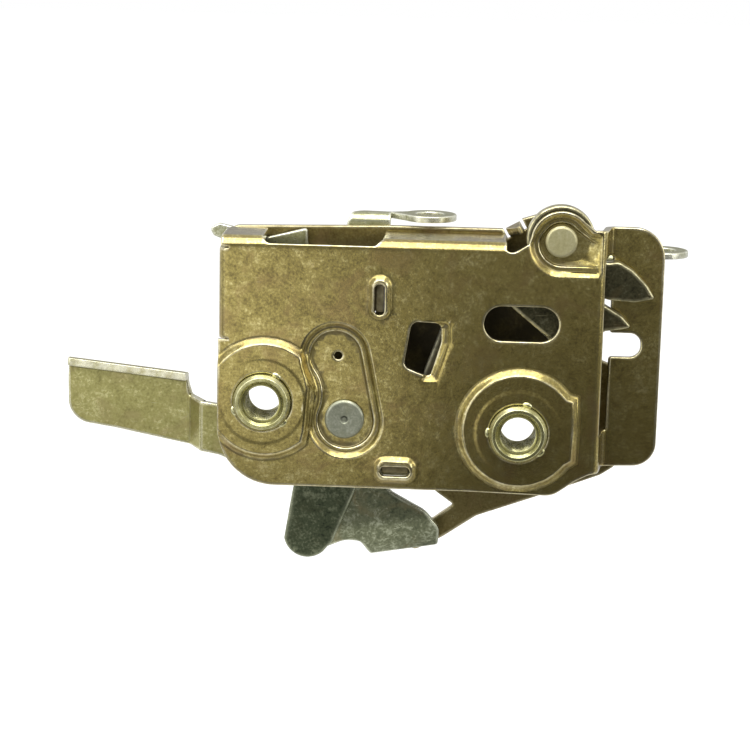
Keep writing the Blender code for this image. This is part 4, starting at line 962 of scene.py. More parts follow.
@dataclass
class Housing:
    """The pressed front plate and the rear plate that closes it."""

    left: float = -76.0
    bottom: float = -15.9
    top: float = 47.9
    corner: float = 14.5
    depth: float = 17.7
    top_bend: float = 2.9
    side_bend: float = 2.4
    jog_x: float = 18.4
    jog_turn: float = math.radians(80)
    jog_inner: float = 1.0
    striker_y: float = 9.8
    striker_right: float = 35.5
    striker_top: float = 51.5
    striker_low: float = -9.7
    slot_z: float = 21.5
    slot_high: float = 6.2
    slot_end: float = 30.4
    lobe_r: float = 7.6
    upper_tab: Place = (-35.6, 32.9, 7.8)
    lower_tab: Place = (-30.8, -11.2, 7.6)
    tab_inner: float = 0.8
    lance: float = 0.8
    few_steps: tuple[float, ...] = (0.0, 0.2, 0.4, 0.6, 0.8, 1.0)

    @property
    def bend_top(self) -> float:
        """Height where the top flange starts to bend."""
        return self.top - self.top_bend

    @property
    def bend_left(self) -> float:
        """Where the left flange starts to bend."""
        return self.left + self.side_bend

    def jog(self) -> Fold:
        """The step back to the striker plate.

        Returns:
            Its fold: a bend, a straight wall and a bend back.
        """
        curves = (self.side_bend + self.jog_inner) * (1 - math.cos(self.jog_turn))
        straight = (self.striker_y - FIELD_Y - curves) / math.sin(self.jog_turn)
        runs = [(self.side_bend * self.jog_turn, self.jog_turn), (straight, 0.0),
                (self.jog_inner * self.jog_turn, -self.jog_turn)]
        return Fold((self.jog_x, 0), (1, 0), runs, (-20, 60), where=lambda u, v: u > self.jog_x - 0.5)

    def blank_x(self, x: float) -> float:
        """Blank position of a point of the striker plate."""
        return x + self.jog().growth()

    def outline(self, top_end: float, left_end: float) -> Outline:
        """Outline of the front plate's blank.

        Args:
            top_end: Blank position of the top flange's rear edge.
            left_end: Blank position of the left flange's rear edge.

        Returns:
            The outline's points.
        """
        bend_top, bend_left = self.bend_top, self.bend_left
        fx, fz = FORK_PIVOT
        right = self.blank_x(self.striker_right)
        plate = rounded([
            (self.left, 21.5), (self.left, self.bottom, self.corner), (-12.8, self.bottom, 20),
            (9.2, self.bottom - 0.5, 6), (14.6, -12.5, 4), (self.jog_x, self.striker_low - 0.8, 4),
            (right, self.striker_low, 6), (right, self.striker_top, 7.8), (fx + 8.8, self.striker_top, 2),
        ])
        lobe = arc(FORK_PIVOT, self.lobe_r, 40, 172)
        notch, edge = fx - 13.4, self.left + 0.5
        flanges = rounded([
            lobe[-1], (fx - 8.1, fz - 0.8), (fx - 11.3, bend_top + 0.6, 2.4), (notch, bend_top + 0.7, 1.0),
            (notch, top_end, 1.5), (-35, top_end, 1), (-35.2, 48.6, 1), (-37.0, 46.3, 1.2),
            (-64.4, 46.3, 1.8), (-65, 49.3, 1), (-65, top_end, 1), (edge, top_end, 2),
            (edge, bend_top + 0.1), (bend_left, bend_top), (bend_left, bend_top - 0.3),
            (left_end, bend_top - 0.3, 2),
            (left_end, 21.7, 2), (bend_left + 0.1, 21.7), (bend_left + 0.1, 21.5), plate[0],
        ])
        return plate + lobe + flanges[1:-1]

    def jaw_window(self) -> Outline:
        """The opening for the fork's jaws that runs into the striker slot.

        Returns:
            The outline's points in the blank.
        """
        top, bottom, r = 44.4, -0.7, 0.6
        edge = self.jog_x + self.side_bend * self.jog_turn * 0.75
        inner, end = self.blank_x(self.jog_x + 4.2), self.blank_x(self.slot_end)
        low, high = self.slot_z - self.slot_high / 2, self.slot_z + self.slot_high / 2
        return rounded([
            (edge, top, r), (edge, bottom, r), (inner, bottom, r), (inner, low, r), (end, low, 2.8),
            (end, high, 2.8), (inner, high, r), (inner, top, r),
        ])

    def bean(self, inward: float = 0.0) -> Outline:
        """The waisted pocket round the lever rivet: two circles, a tangent and a hollow waist.

        Args:
            inward: How far the outline stands inside the pocket's rim.

        Returns:
            The outline's points.
        """
        a, b = Vector((-46.4, 17.9)), Vector((-43.6, 1.2))
        ra, rb, waist = 9.15 - inward, 9.8 - inward, 8.0 + inward
        ab = b - a
        tangent = math.degrees(math.atan2(ab.y, ab.x) + math.acos((ra - rb) / ab.length))
        along = ab.normalized()
        run = ((ra + waist) ** 2 - (rb + waist) ** 2 + ab.length**2) / (2 * ab.length)
        side = math.sqrt((ra + waist) ** 2 - run**2)
        hollow = a + along * run + Vector((along.y, -along.x)) * side
        to_a, to_b = (math.degrees(math.atan2(p.y - hollow.y, p.x - hollow.x)) for p in (a, b))
        top = arc(tuple(a), ra, tangent, to_a + 180)
        middle = arc(tuple(hollow), waist, to_a, to_b)
        return top + middle[1:-1] + arc(tuple(b), rb, to_b + 180, tangent + 360)

    def presses(self) -> list[Press]:
        """The bosses, pockets and coined rims of the front plate.

        Returns:
            One form each.
        """
        few = self.few_steps
        lx, lz = LEFT_BUSH
        left_boss = arc((lx + 0.4, lz + 0.5), 16.2, 46, 314) + [(-52.2, -1.4), (-51.3, 10.1), (-52.6, 16.0)]
        right_boss = arc((0.2, 0.5), 16.2, 38, 323) + [(15.4, -7.8), (15.6, 0.5), (15.4, 9.9)]
        lip = rounded([
            (-24.6, 28.0, 1), (-24.9, 12.0, 1), (-20.4, 12.0, 1.2), (-17.2, 22.0, 2.4), (-17.4, 28.0, 2),
        ])
        (ux, uz, ul), (dx, dz, dl) = self.upper_tab, self.lower_tab
        upper_rim = soft_box((ux + 0.1, uz + 0.5), 6.6, ul + 4.2, 3.2)
        lower_rim = soft_box((dx, dz + 0.4), dl + 4.0, 7.6, 3.2)
        return [
            Press(left_boss, 2.3, -1.5, knee=0.62), Press(right_boss, 2.3, -1.5, knee=0.62),
            Press(self.bean(), 1.9, 1.2, knee=0.6), Press(self.bean(2.4), 0.8, 0.6, steps=few),
            Press(self.lobe_pocket(0.0), 2.2, 1.2, fade=(17.6, 19.4), knee=0.6),
            Press(self.lobe_pocket(2.7), 0.8, 0.6, fade=(16.4, 18.4), steps=few),
            Press(lip, 2.3, 1.4, steps=few, knee=0.3),
            *(Press(circle(centre, 11.4), 1.2, -0.08, steps=few) for centre in (LEFT_BUSH, RIGHT_BUSH)),
            *(Press(rim, 1.9, -1.2, steps=few) for rim in (upper_rim, lower_rim)),
        ]

    def lobe_pocket(self, inward: float) -> Outline:
        """The pocket round the fork's rivet, open to the step at its right.

        Args:
            inward: How far the outline stands inside the pocket's rim.

        Returns:
            The outline's points.
        """
        fx, fz = FORK_PIVOT
        right, top = 24.4, self.striker_top + 0.2 - inward
        turns = np.radians(np.linspace(90, 268, 27))
        radii = np.interp(np.degrees(turns), (150, 180, 268), (7.8, 8.5, 9.2)) - inward
        spokes = zip(radii.tolist(), turns.tolist())
        round_end = [(fx + r * math.cos(a), fz + r * math.sin(a)) for r, a in spokes]
        shelf = [(right, round_end[-1][1]), (right, top), (fx + 8.0, top)]
        return round_end + shelf + arc(FORK_PIVOT, 7.8 - inward, 44, 80)

    def front(self) -> Sheet:
        """The front plate.

        Returns:
            The sheet, with its holes, pressed forms and folds.
        """
        bend_top, bend_left = self.bend_top, self.bend_left
        top_arc, side_arc = self.top_bend * QUARTER, self.side_bend * QUARTER
        top_end = bend_top + top_arc + self.depth - FIELD_Y - self.top_bend
        left_end = bend_left - side_arc - (self.depth - FIELD_Y - self.side_bend)
        window = rounded([
            (-27.4, 27.5, 2.0), (-29.2, 15.9, 1.8), (-22.6, 13.3, 1.0), (-20.0, 22.2, 3), (-20.1, 27.1, 1.8),
        ])
        (ux, uz, ul), (dx, dz, dl) = self.upper_tab, self.lower_tab
        holes = [
            circle(RIGHT_BUSH, BUSH_R + 0.06, 72), circle(LEFT_BUSH, BUSH_R + 0.06, 72),
            pin_hole(FORK_PIVOT), pin_hole(LEVER_PIVOT), circle((-45.8, 17.9), 1.0, 20),
            stadium((-0.1, 27.6), 18.6, 8.8), window, self.jaw_window(),
            soft_box((ux, uz), 2.5, ul, 1.22), soft_box((dx, dz + 0.1), dl, 2.5, 1.22),
        ]
        notch_x = FORK_PIVOT[0] - 11.3
        folds = [
            Fold((0, bend_top), (0, 1), [(top_arc, QUARTER)], (4.3, 76.5),
                 where=lambda u, v: (u < notch_x) & (v > bend_top)),
            Fold((bend_left, 0), (-1, 0), [(side_arc, QUARTER)], (-45.0, -21.5),
                 where=lambda u, v: (v > 21.6) & (v < bend_top)),
            self.jog(),
        ]
        return Sheet(self.outline(top_end, left_end), SHEET, FIELD_Y, holes, self.presses(), folds)

    def rear(self) -> Sheet:
        """The rear plate, with two tongues and a gusset folded forward.

        Returns:
            The sheet, with its holes and folds.
        """
        (ux, uz, ul), (dx, dz, dl) = self.upper_tab, self.lower_tab
        inner, cut = self.tab_inner, self.lance
        quarter = inner * QUARTER
        reach = REAR_Y - inner - FIELD_Y - 1.2
        shoulder = REAR_Y - inner - FIELD_Y - SHEET - GAP
        fold_x = ux - HEAVY_SHEET / 2 - inner
        fold_z = dz - HEAVY_SHEET / 2 - inner
        up_tip, up_shoulder = fold_x + quarter + reach, fold_x + quarter + shoulder
        low_tip, low_shoulder = fold_z + quarter + reach, fold_z + quarter + shoulder
        half, wall = ul / 2 - GAP, 6.0
        upper_hole = self.counter_clockwise(rounded([
            (fold_x, uz + wall + cut), (fold_x, uz + wall), (up_shoulder, uz + wall, 0.6),
            (up_shoulder, uz + half), (up_tip, uz + half, 1.0), (up_tip, uz - half, 1.0),
            (up_shoulder, uz - half), (up_shoulder, uz - wall, 0.6), (fold_x, uz - wall),
            (fold_x, uz - wall - cut), (up_tip + cut, uz - wall - cut, 1), (up_tip + cut, uz + wall + cut, 1),
        ]))
        x0, x1 = dx - dl / 2 + GAP, dx + dl / 2 - GAP
        neck, x2 = x0 + 1.5, x1 + 1.1
        lower_hole = self.counter_clockwise(rounded([
            (neck, fold_z), (neck, low_shoulder), (x0, low_shoulder), (x0, low_tip, 1.0), (x1, low_tip, 1.0),
            (x1, low_shoulder), (x2, low_shoulder, 0.6), (x2, fold_z), (x2 + cut, fold_z),
            (x2 + cut, low_tip + cut, 1), (x0 - cut, low_tip + cut, 1), (x0 - cut, fold_z),
        ]))
        fx, fz = FORK_PIVOT
        flap, gusset = self.gusset()
        outline = rounded([
            (self.left + 0.5, self.bottom - 0.5, 13), (-25.0, self.bottom - 0.8, 3), (-19.8, -21.0, 0.5),
            (-15.6, -24.0, 0.6), (-20.9, -28.0, 1), (-28.5, -32.2, 2), (-26.5, -37.2, 2), (-18.4, -32.9, 10),
            (-9.6, -26.8, 4), (5.6, -21.2, 20), (22.3, -14.7, 4), (26.5, -11.8, 3), (26.5, 13.5, 1.5),
            (19.5, 16.4, 3), (19.5, fz - 6, 6), (fx + 6, fz + 3, 3), (fx + 2.2, fz + 5.5, 3),
            (fx - 3, fz + 5.5, 3), (fx - 6.6, fz + 4.2, 2), *flap, (-35, self.top + 1.2, 10),
            (self.left + 0.5, self.top + 0.2, 3),
        ])
        clear = BUSH_R + 1.2
        holes = [
            circle(RIGHT_BUSH, clear), circle(LEFT_BUSH, clear), pin_hole(FORK_PIVOT), pin_hole(LEVER_PIVOT),
            pin_hole(SILL_PIVOT, 3.8), pin_hole(KEY_PIVOT), upper_hole, lower_hole,
        ]
        near, room = 0.01, 0.4

        def on_upper(u: np.ndarray, v: np.ndarray) -> np.ndarray:
            """Whether blank points lie on the upper tongue."""
            return (u > fold_x - near) & (u < up_tip + room) & (abs(v - uz) < wall + room)

        def on_lower(u: np.ndarray, v: np.ndarray) -> np.ndarray:
            """Whether blank points lie on the lower tongue."""
            return (v > fold_z - near) & (v < low_tip + room) & (u > x0 - room) & (u < x2 + room)

        bend = [(quarter, -QUARTER)]
        folds = [
            Fold((fold_x, 0), (1, 0), bend, (uz - wall - room, uz + wall + room), where=on_upper),
            Fold((0, fold_z), (0, 1), bend, (-x2 - room, -x0 + room), where=on_lower),
            gusset,
        ]
        return Sheet(outline, HEAVY_SHEET, REAR_Y, holes, [], folds)

    def gusset(self) -> tuple[list[Corner], Fold]:
        """The flap beside the fork's hub, folded forward out of the rear plate.

        Returns:
            Its stretch of the plate's outline and its fold.
        """
        long, slit, inner = 3.9, 0.8, 0.8
        lean = math.radians(29)
        along = Vector((math.cos(lean), math.sin(lean)))
        out = Vector((-along.y, along.x))
        edge, bend = inner + HEAVY_SHEET, inner * QUARTER
        root = Vector((FORK_PIVOT[0] - 13.6, FORK_PIVOT[1] + 1.0)) - out * edge
        reach = bend + REAR_Y - inner - FORK_Y

        def p(t: float, s: float, *r: float) -> Corner:
            """A corner counted along and out from the flap's root."""
            return (*(root + along * t + out * s), *r)

        def inside(u: np.ndarray, v: np.ndarray) -> np.ndarray:
            """Whether blank points lie between the flap's slits."""
            t, s = (((u - root.x) * d.x + (v - root.y) * d.y) for d in (along, out))
            return (t > -slit / 2) & (t < long + slit / 2) & (s > -0.01)

        flap = [
            p(long + slit, edge), p(long + slit, 0.0), p(long, 0.0), p(long, reach, 0.6), p(0.0, edge, 0.6),
            p(0.0, 0.0), p(-slit, 0.0), p(-slit, edge),
        ]
        return flap, Fold(tuple(root), tuple(out), [(bend, -QUARTER)], (-long - 0.2, 0.2), where=inside)

    @staticmethod
    def counter_clockwise(outline: Outline) -> Outline:
        """Turns an outline round where it runs clockwise."""
        area = sum(outline[i - 1][0] * p[1] - p[0] * outline[i - 1][1] for i, p in enumerate(outline))
        return outline if area > 0 else outline[::-1]

    def build(self) -> None:
        """Builds and dresses both plates."""
        dress(self.front().mesh("front_plate_pressed"), YELLOW_ZINC, "front_plate")
        dress(self.rear().mesh("rear_plate_pressed"), SHADED_REAR_ZINC, "rear_plate")


@dataclass
class Bush:
    """A threaded bush with its staking prongs."""

    node: str
    centre: Point
    prongs: Place
    collar: float = 2.5
    reach: float = 10.5
    bore: float = 4.33
    bore_rows: int = 84
    thread: float = 0.62
    pitch: float = 1.25
    runout: float = 0.8
    mouth: float = 5.75
    flange_r: float = 10.0
    flange_y: float = 2.15
    flange: float = 1.6
    prong_r: float = 7.6
    prong_y: float = 0.15
    prong_size: Place = (0.8, 0.62, 1.35)

    def radius(self, r: float, y: float, angle: float) -> float:
        """Cuts the thread into the bore.

        Args:
            r: Plain radius.
            y: Place along the axis.
            angle: Angle round the axis.

        Returns:
            The radius with the thread's groove.
        """
        if r > self.bore + 0.01:
            return r
        lead_in = max(0.0, (y + self.collar - 0.9) / self.runout)
        fade = min(1.0, lead_in, max(0.0, (self.reach - 0.5 - y) / self.runout))
        phase = (y / self.pitch - angle / (2 * math.pi)) % 1.0
        groove = min(1.0, 2.6 * abs(phase - 0.5))
        return r + self.thread * (1 - groove) * fade

    def mesh(self) -> bpy.types.Mesh:
        """Builds the bush's mesh.

        Returns:
            The mesh, in metres.
        """
        front, back = -self.collar, self.flange_y + self.flange
        start, end = front + 1.1, self.reach - 0.4
        bore = [(self.bore, end + (start - end) * i / self.bore_rows) for i in range(self.bore_rows + 1)]
        outer = rounded([
            (self.bore + 0.75, front + 0.75, 0.3), (self.mouth, front, 0.2), (BUSH_R - 0.75, front, 0.3),
            (BUSH_R - 0.05, front + 0.9, 0.3), (BUSH_R, self.flange_y, 0.1),
            (self.flange_r, self.flange_y, 0.3), (self.flange_r, back, 0.3), (BUSH_R, back, 0.3),
            (BUSH_R, self.reach, 0.5), (self.bore + 0.5, self.reach, 0.1),
        ])
        return turned(f"{self.node}_turned", outer + bore, self.centre, 72, self.radius)

    def prong(self, angle: float, number: int) -> bpy.types.Mesh:
        """One lump of metal pushed out of the collar over the seat.

        Args:
            angle: Its angle round the bush in degrees.
            number: Its number, for the name.

        Returns:
            The lump's mesh.
        """
        a = math.radians(angle)
        cx, cz = self.centre
        middle = Vector((cx + self.prong_r * math.cos(a), self.prong_y, cz + self.prong_r * math.sin(a)))
        turn = Matrix.Rotation(-a, 4, "Y")
        shape = Matrix.Translation(middle) @ turn @ Matrix.Diagonal((*self.prong_size, 1.0))
        bm = bmesh.new()
        bmesh.ops.create_icosphere(bm, subdivisions=3, radius=1.0)
        for vert in bm.verts:
            vert.co = Matrix.Diagonal((MM, MM, MM, 1.0)) @ shape @ vert.co
        mesh = bpy.data.meshes.new(f"{self.node}_turned_prong_{number}")
        bm.to_mesh(mesh)
        bm.free()
        return mesh

    def build(self) -> None:
        """Builds and dresses the bush and its prongs."""
        for mesh in (self.mesh(), *(self.prong(angle, number) for number, angle in enumerate(self.prongs))):
            dress(mesh, BUSH_ZINC, self.node)


@dataclass
class Rivets:
    """The turned pieces: both stepped rivets, the washer, the shaft and the key rivet."""

    head: float = 1.0
    post_r: float = 4.2
    washer: float = 0.6
    rod_lever: float = 1.6

    def stepped(self, centre: Point, head_r: float, pin_r: float, pin_end: float, dimple: float,
                name: str) -> bpy.types.Mesh:
        """A rivet from the pocket floor to the rear plate.

        Args:
            centre: Its axis.
            head_r: Radius of the front head.
            pin_r: Radius where the levers turn.
            pin_end: Where that stretch ends.
            dimple: Depth of the dimple in the front head.
            name: The mesh's name.

        Returns:
            The mesh.
        """
        front = FLOOR_BACK - SHEET - GAP - self.head
        seat, pin, rear = FLOOR_BACK - SHEET - GAP, FLOOR_BACK + PLAY, REAR_BACK + GAP
        dip = [(0.55, front + dimple, 0.2), (1.1, front + 0.1, 0.25)] if dimple else []
        return turned(name, rounded([
            (0.0, front + dimple), *dip,
            (head_r - 0.5, front, 2.0), (head_r, front + 0.45, 0.4), (head_r, seat, 0.1), (NECK_R, seat),
            (NECK_R, pin), (pin_r, pin, 0.2), (pin_r, pin_end, 0.3), (self.post_r, pin_end),
            (self.post_r, REAR_Y - GAP, 0.3), (NECK_R, REAR_Y - GAP), (NECK_R, rear),
            (NECK_R + 1.6, rear, 0.2), (NECK_R + 1.1, rear + 0.9, 0.5), (0.0, rear + 0.9),
        ]), centre)

    def build(self) -> None:
        """Builds and dresses every turned piece."""
        fork = self.stepped(FORK_PIVOT, 4.0, 5.0, FORK_Y + FORK_THICK, 0.0, "fork_rivet_turned")
        dress(fork, LOBE_STEEL, "fork_rivet")
        lever = self.stepped(LEVER_PIVOT, 5.0, 4.8, WASHER_Y - PLAY, 0.6, "lever_rivet_turned")
        dress(lever, RIVET_STEEL, "lever_rivet")
        back = WASHER_Y + self.washer
        washer = rounded([(4.4, WASHER_Y, 0.1), (7.0, WASHER_Y, 0.15), (7.0, back, 0.15), (4.4, back, 0.1)])
        dress(turned("lever_washer_turned", washer, LEVER_PIVOT), SPRING_WIRE, "lever_washer")
        end = ROD_Y + self.rod_lever + GAP
        tip = [(4.5, end + 1.0, 0.5), (0.0, end + 1.0)]
        shaft = rounded([(0.0, CAM_Y - 1.3), (5.0, CAM_Y - 1.3, 0.4), (5.0, CAM_Y - GAP, 0.1),
                         (3.5, CAM_Y - GAP), (3.5, end), (5.0, end, 0.1), *tip])
        dress(turned("sill_shaft_turned", shaft, SILL_PIVOT), RIVET_STEEL, "sill_shaft", "sill_body")
        key = rounded([(0.0, REAR_Y - 1.3), (4.8, REAR_Y - 1.3, 0.4), (4.8, REAR_Y - GAP, 0.1),
                       (3.0, REAR_Y - GAP), (3.0, REAR_BACK + PLAY), (3.5, REAR_BACK + PLAY), (3.5, end),
                       (5.1, end, 0.1), *tip])
        dress(turned("key_rivet_turned", key, KEY_PIVOT), RIVET_STEEL, "key_rivet")


@dataclass
class Catch:
    """The fork and the pawl with their springs and clip."""

    hub_r: float = 8.6
    bore_r: float = 5.15
    rim_r: float = 25.7
    pawl_hub: float = 11.3
    pawl_bore: float = BUSH_R + PLAY
    sweep: float = 28.7
    clip_r: float = 9.2
    spring_top: Point = (-34.3, 29.0)
    spring_low: Point = (-28.8, 3.4)
    spring_r: float = 1.9
    spring_turns: int = 13

    def fork(self) -> Sheet:
        """The fork: hub, catch arm, rim and the two jaws.

        Returns:
            The sheet.
        """
        fx, fz = FORK_PIVOT

        def p(dx: float, dz: float, *r: float) -> Corner:
            """A corner counted from the pivot."""
            return (fx + dx, fz + dz, *r)

        hub = arc(FORK_PIVOT, self.hub_r, -22, 200)
        arm = rounded([
            hub[-1], p(-11.1, -9.9, 4), p(-15.4, -12.4, 3), p(-19.9, -14.8, 1), p(-20.7, -17.3, 0.8),
            p(-19.4, -17.9, 0.6), p(-16.9, -14.9, 1.2), p(-13.0, -15.8, 1.5), p(-10.9, -18.0),
        ])
        rim = arc(FORK_PIVOT, self.rim_r, -99.6, -62.0)
        jaws = rounded([
            rim[-1], p(16.0, -22.1, 3), p(18.4, -21.5, 0.5), p(15.9, -18.8, 3), p(11.9, -16.4, 2),
            p(9.8, -15.9, 0.9), p(9.8, -14.1, 0.9), p(12.8, -14.8, 3), p(18.9, -15.2, 6), p(23.9, -14.1, 0.5),
            p(21.9, -10.9, 6), p(18.3, -7.2, 8), p(14.5, -5.0, 3), p(11.6, -5.6, 3), hub[0],
        ])
        outline = hub + arm[1:] + rim[1:] + jaws[1:-1]
        return Sheet(outline, FORK_THICK, FORK_Y, [circle(FORK_PIVOT, self.bore_r)], roll=0.45, burr=0.2)

    def pawl(self) -> Sheet:
        """The pawl: hub on the right bush, nose by the fork and tail by the release lever.

        Returns:
            The sheet.
        """
        hub = arc(RIGHT_BUSH, self.pawl_hub, -125, 118)
        near = arc(FORK_PIVOT, self.sweep, -135, -164)
        body = rounded([hub[-1], (-10.0, 18.0, 3), near[0]])
        nx, nz = near[-1]
        tail = rounded([
            near[-1], (nx - 0.4, nz + 2.6, 0.8), (nx - 2.6, nz + 3.2, 1), (nx - 4.6, nz - 1.0, 3),
            (-19.6, 31.5, 6), (-19.6, 26.7, 3), (-24.1, 14.0, 4), (-24.9, 5.8, 1), (-31.5, 5.8, 1.2),
            (-31.5, 1.2, 1.8), (-20.0, -2.6, 6), hub[0],
        ])
        holes = [circle(RIGHT_BUSH, self.pawl_bore), circle(self.spring_low, 0.8, 16)]
        outline = hub + body[1:-1] + near + tail[1:-1]
        return Sheet(outline, FORK_THICK, FORK_Y, holes, roll=0.4, burr=0.2)

    def build(self) -> None:
        """Builds and dresses the catch."""
        back = FORK_Y + FORK_THICK
        dress(self.fork().mesh("fork_jaws"), FORK_ZINC, "fork", "fork_body")
        dress(self.pawl().mesh("pawl_arm"), SHADED_PAWL_ZINC, "pawl", "pawl_body")
        ring = arc(RIGHT_BUSH, self.clip_r, -60, 240) + arc(RIGHT_BUSH, self.pawl_bore, 240, -60)
        clip = Sheet(ring, 0.8, back + GAP, roll=0.15, burr=0.1)
        dress(clip.mesh("pawl_clip_ring"), SPRING_WIRE, "pawl_clip")
        TorsionSpring("fork_spring", FORK_PIVOT, back, turns=3.0, fill=0.66, first=200,
                      first_leg=(-12.5, -6.0), last_leg=(0.6, -5.0)).build()
        self.pawl_spring(back)

    def pawl_spring(self, back: float) -> None:
        """Builds the tension spring between the upper tongue and the pawl's tail.

        Args:
            back: The pawl's back face.
        """
        y, lead, per_turn, hook = back + GAP + 2.6, 4.5, 24, 1.2
        top, low = (Vector((x, y, z)) for x, z in (self.spring_top, self.spring_low))
        axis = (low - top).normalized()
        side = Vector((0, 1, 0))
        across = axis.cross(side)
        run, steps = (low - top).length - 2 * lead, self.spring_turns * per_turn
        route = [tuple(top)]
        for i in range(steps + 1):
            a = 2 * math.pi * i / per_turn
            middle = top + axis * (lead + run * i / steps)
            route.append(tuple(middle + (across * math.cos(a) + side * math.sin(a)) * self.spring_r))
        route += [tuple(low - axis * hook), (low.x, back + 0.7, low.z)]
        wire_piece("pawl_spring_coil", route, 0.8, "pawl_spring")


@dataclass
class ReleaseLevers:
    """The three levers on the lever rivet and their spring."""

    hub_r: float = 8.0
    pin_r: float = 4.95
    paddle_left: float = -115.4
    paddle_back: float = 4.0
    paddle_flange: float = 3.8
    neck_x: float = -80.1
    neck_turn: float = math.radians(50)
    neck_bend: float = 1.4
    lip_r: float = 15.0
    lip_turn: float = math.radians(44)

    def release(self) -> Sheet:
        """The long lever with the set-back paddle and its folded top edge.

        Returns:
            The sheet, with the fold of its top edge and the step of its neck.
        """
        first, last = Vector((self.paddle_left, 11.6)), Vector((-84.1, 8.4))
        along = (last - first).normalized()
        up = Vector((-along.y, along.x))
        neck, turn, r = self.neck_x, self.neck_turn, self.neck_bend
        straight = (self.paddle_back - 2 * r * (1 - math.cos(turn))) / math.sin(turn)
        step = Fold((neck, 0), (-1, 0), [(r * turn, turn), (straight, 0.0), (r * turn, -turn)], (-20, 20))
        length, grow = step.total()[0], step.growth()
        base = first - grow * along
        flange = Fold(tuple(base), tuple(up), [(0.7 * QUARTER, -QUARTER)], (-35, 2),
                      where=lambda u, v: u < -83.5)
        tip = self.paddle_flange - 1.0
        left = self.paddle_left - grow
        root = first + (30.8 - grow) * along
        hub = arc(LEVER_PIVOT, self.hub_r, -110, 12)
        nose = rounded([
            hub[-1], (-32.5, 6.1, 1), (-27.6, 6.1, 1), (-27.2, 9.8, 1.4), (-33.0, 11.2, 4), (-39.9, 10.2),
        ])
        crown = arc(LEVER_PIVOT, self.hub_r, 70, 160)
        arm = rounded([
            crown[-1], (-56.0, -5.2, 3), (-69.0, -6.7, 4), (-74.2, -2.2, 3), (-75.2, 3.7, 1), (neck, 4.4, 2),
            (root.x + 0.6, 5.0, 0.8), tuple(root + up * 0.4), tuple(root + up * tip),
            (*(base + up * tip), 0.8), (left, 9.5, 0.4), (left, -2.2, 6.2), (left + 12.0, -4.0, 4),
            (neck - length - 0.5, -7.5, 3), (neck + 4.0, -9.3, 3), (-68.0, -12.8, 6), (-56.0, -13.2, 5),
            hub[0],
        ])
        outline = hub + nose[1:-1] + crown + arm[1:-1]
        return Sheet(outline, HEAVY_SHEET, FORK_Y, self.bore(), [], [flange, step], roll=0.3)

    def outside(self) -> Sheet:
        """The flat tab that hangs below the housing.

        Returns:
            The sheet.
        """
        hub = arc(LEVER_PIVOT, self.hub_r, 0, 190)
        tab = rounded([
            hub[-1], (-57.1, -18.1, 20), *arc((-53.2, -30.5), 6.1, 190, 312), (-46.6, -32.0, 3),
            (-41.0, -18.3, 20), (-37.4, -6.0, 6), hub[0],
        ])
        return Sheet(hub + tab[1:-1], HEAVY_SHEET, OUTSIDE_Y, self.bore(), roll=0.7, burr=0.25)

    def inside(self) -> Sheet:
        """The lever with the lip rolled back along its lower edge.

        Returns:
            The sheet, with the lip's roll.
        """
        start = Vector((-41.7, -27.2))
        along = Vector((0.985, 0.172)).normalized()
        down = Vector((along.y, -along.x))
        lip = self.lip_r * self.lip_turn
        low_left, low_right = start + along * 3.0 + down * lip, start + along * 20.8 + down * lip
        hub = arc(LEVER_PIVOT, self.hub_r, -8, 190)
        blade = rounded([
            hub[-1], (-50.0, -18.0, 10), (-52.0, -32.0, 3), (-49.0, -35.2, 1.5), (-43.5, -32.5, 6),
            (-39.5, -33.0, 2), (*low_left, 0.8), (*low_right, 1.2), (-19.2, -28.5, 4), (-23.0, -23.8, 5),
            (-32.8, -18.5, 6), (-34.7, -12.8, 4), hub[0],
        ])
        fold = Fold(tuple(start), tuple(down), [(lip, self.lip_turn)], (-20, 40))
        return Sheet(hub + blade[1:-1], HEAVY_SHEET, INSIDE_Y, self.bore(), [], [fold])

    def bore(self) -> list[Outline]:
        """The hole for the rivet in each lever."""
        return [circle(LEVER_PIVOT, self.pin_r)]

    def build(self) -> None:
        """Builds and dresses the levers and their spring."""
        dress(self.release().mesh("release_paddle"), LEVER_ZINC, "release_lever", "release_body")
        dress(self.outside().mesh("outside_tab"), DARK_ZINC, "outside_lever", "outside_body")
        dress(self.inside().mesh("inside_lip"), DUSTY_ZINC, "inside_lever", "inside_body")
        TorsionSpring("lever_spring", LEVER_PIVOT, WASHER_Y + 0.6, turns=2.5, fill=1.0, first=230,
                      first_leg=(-6.0, -11.0), last_leg=(10.4, -12.8)).build()


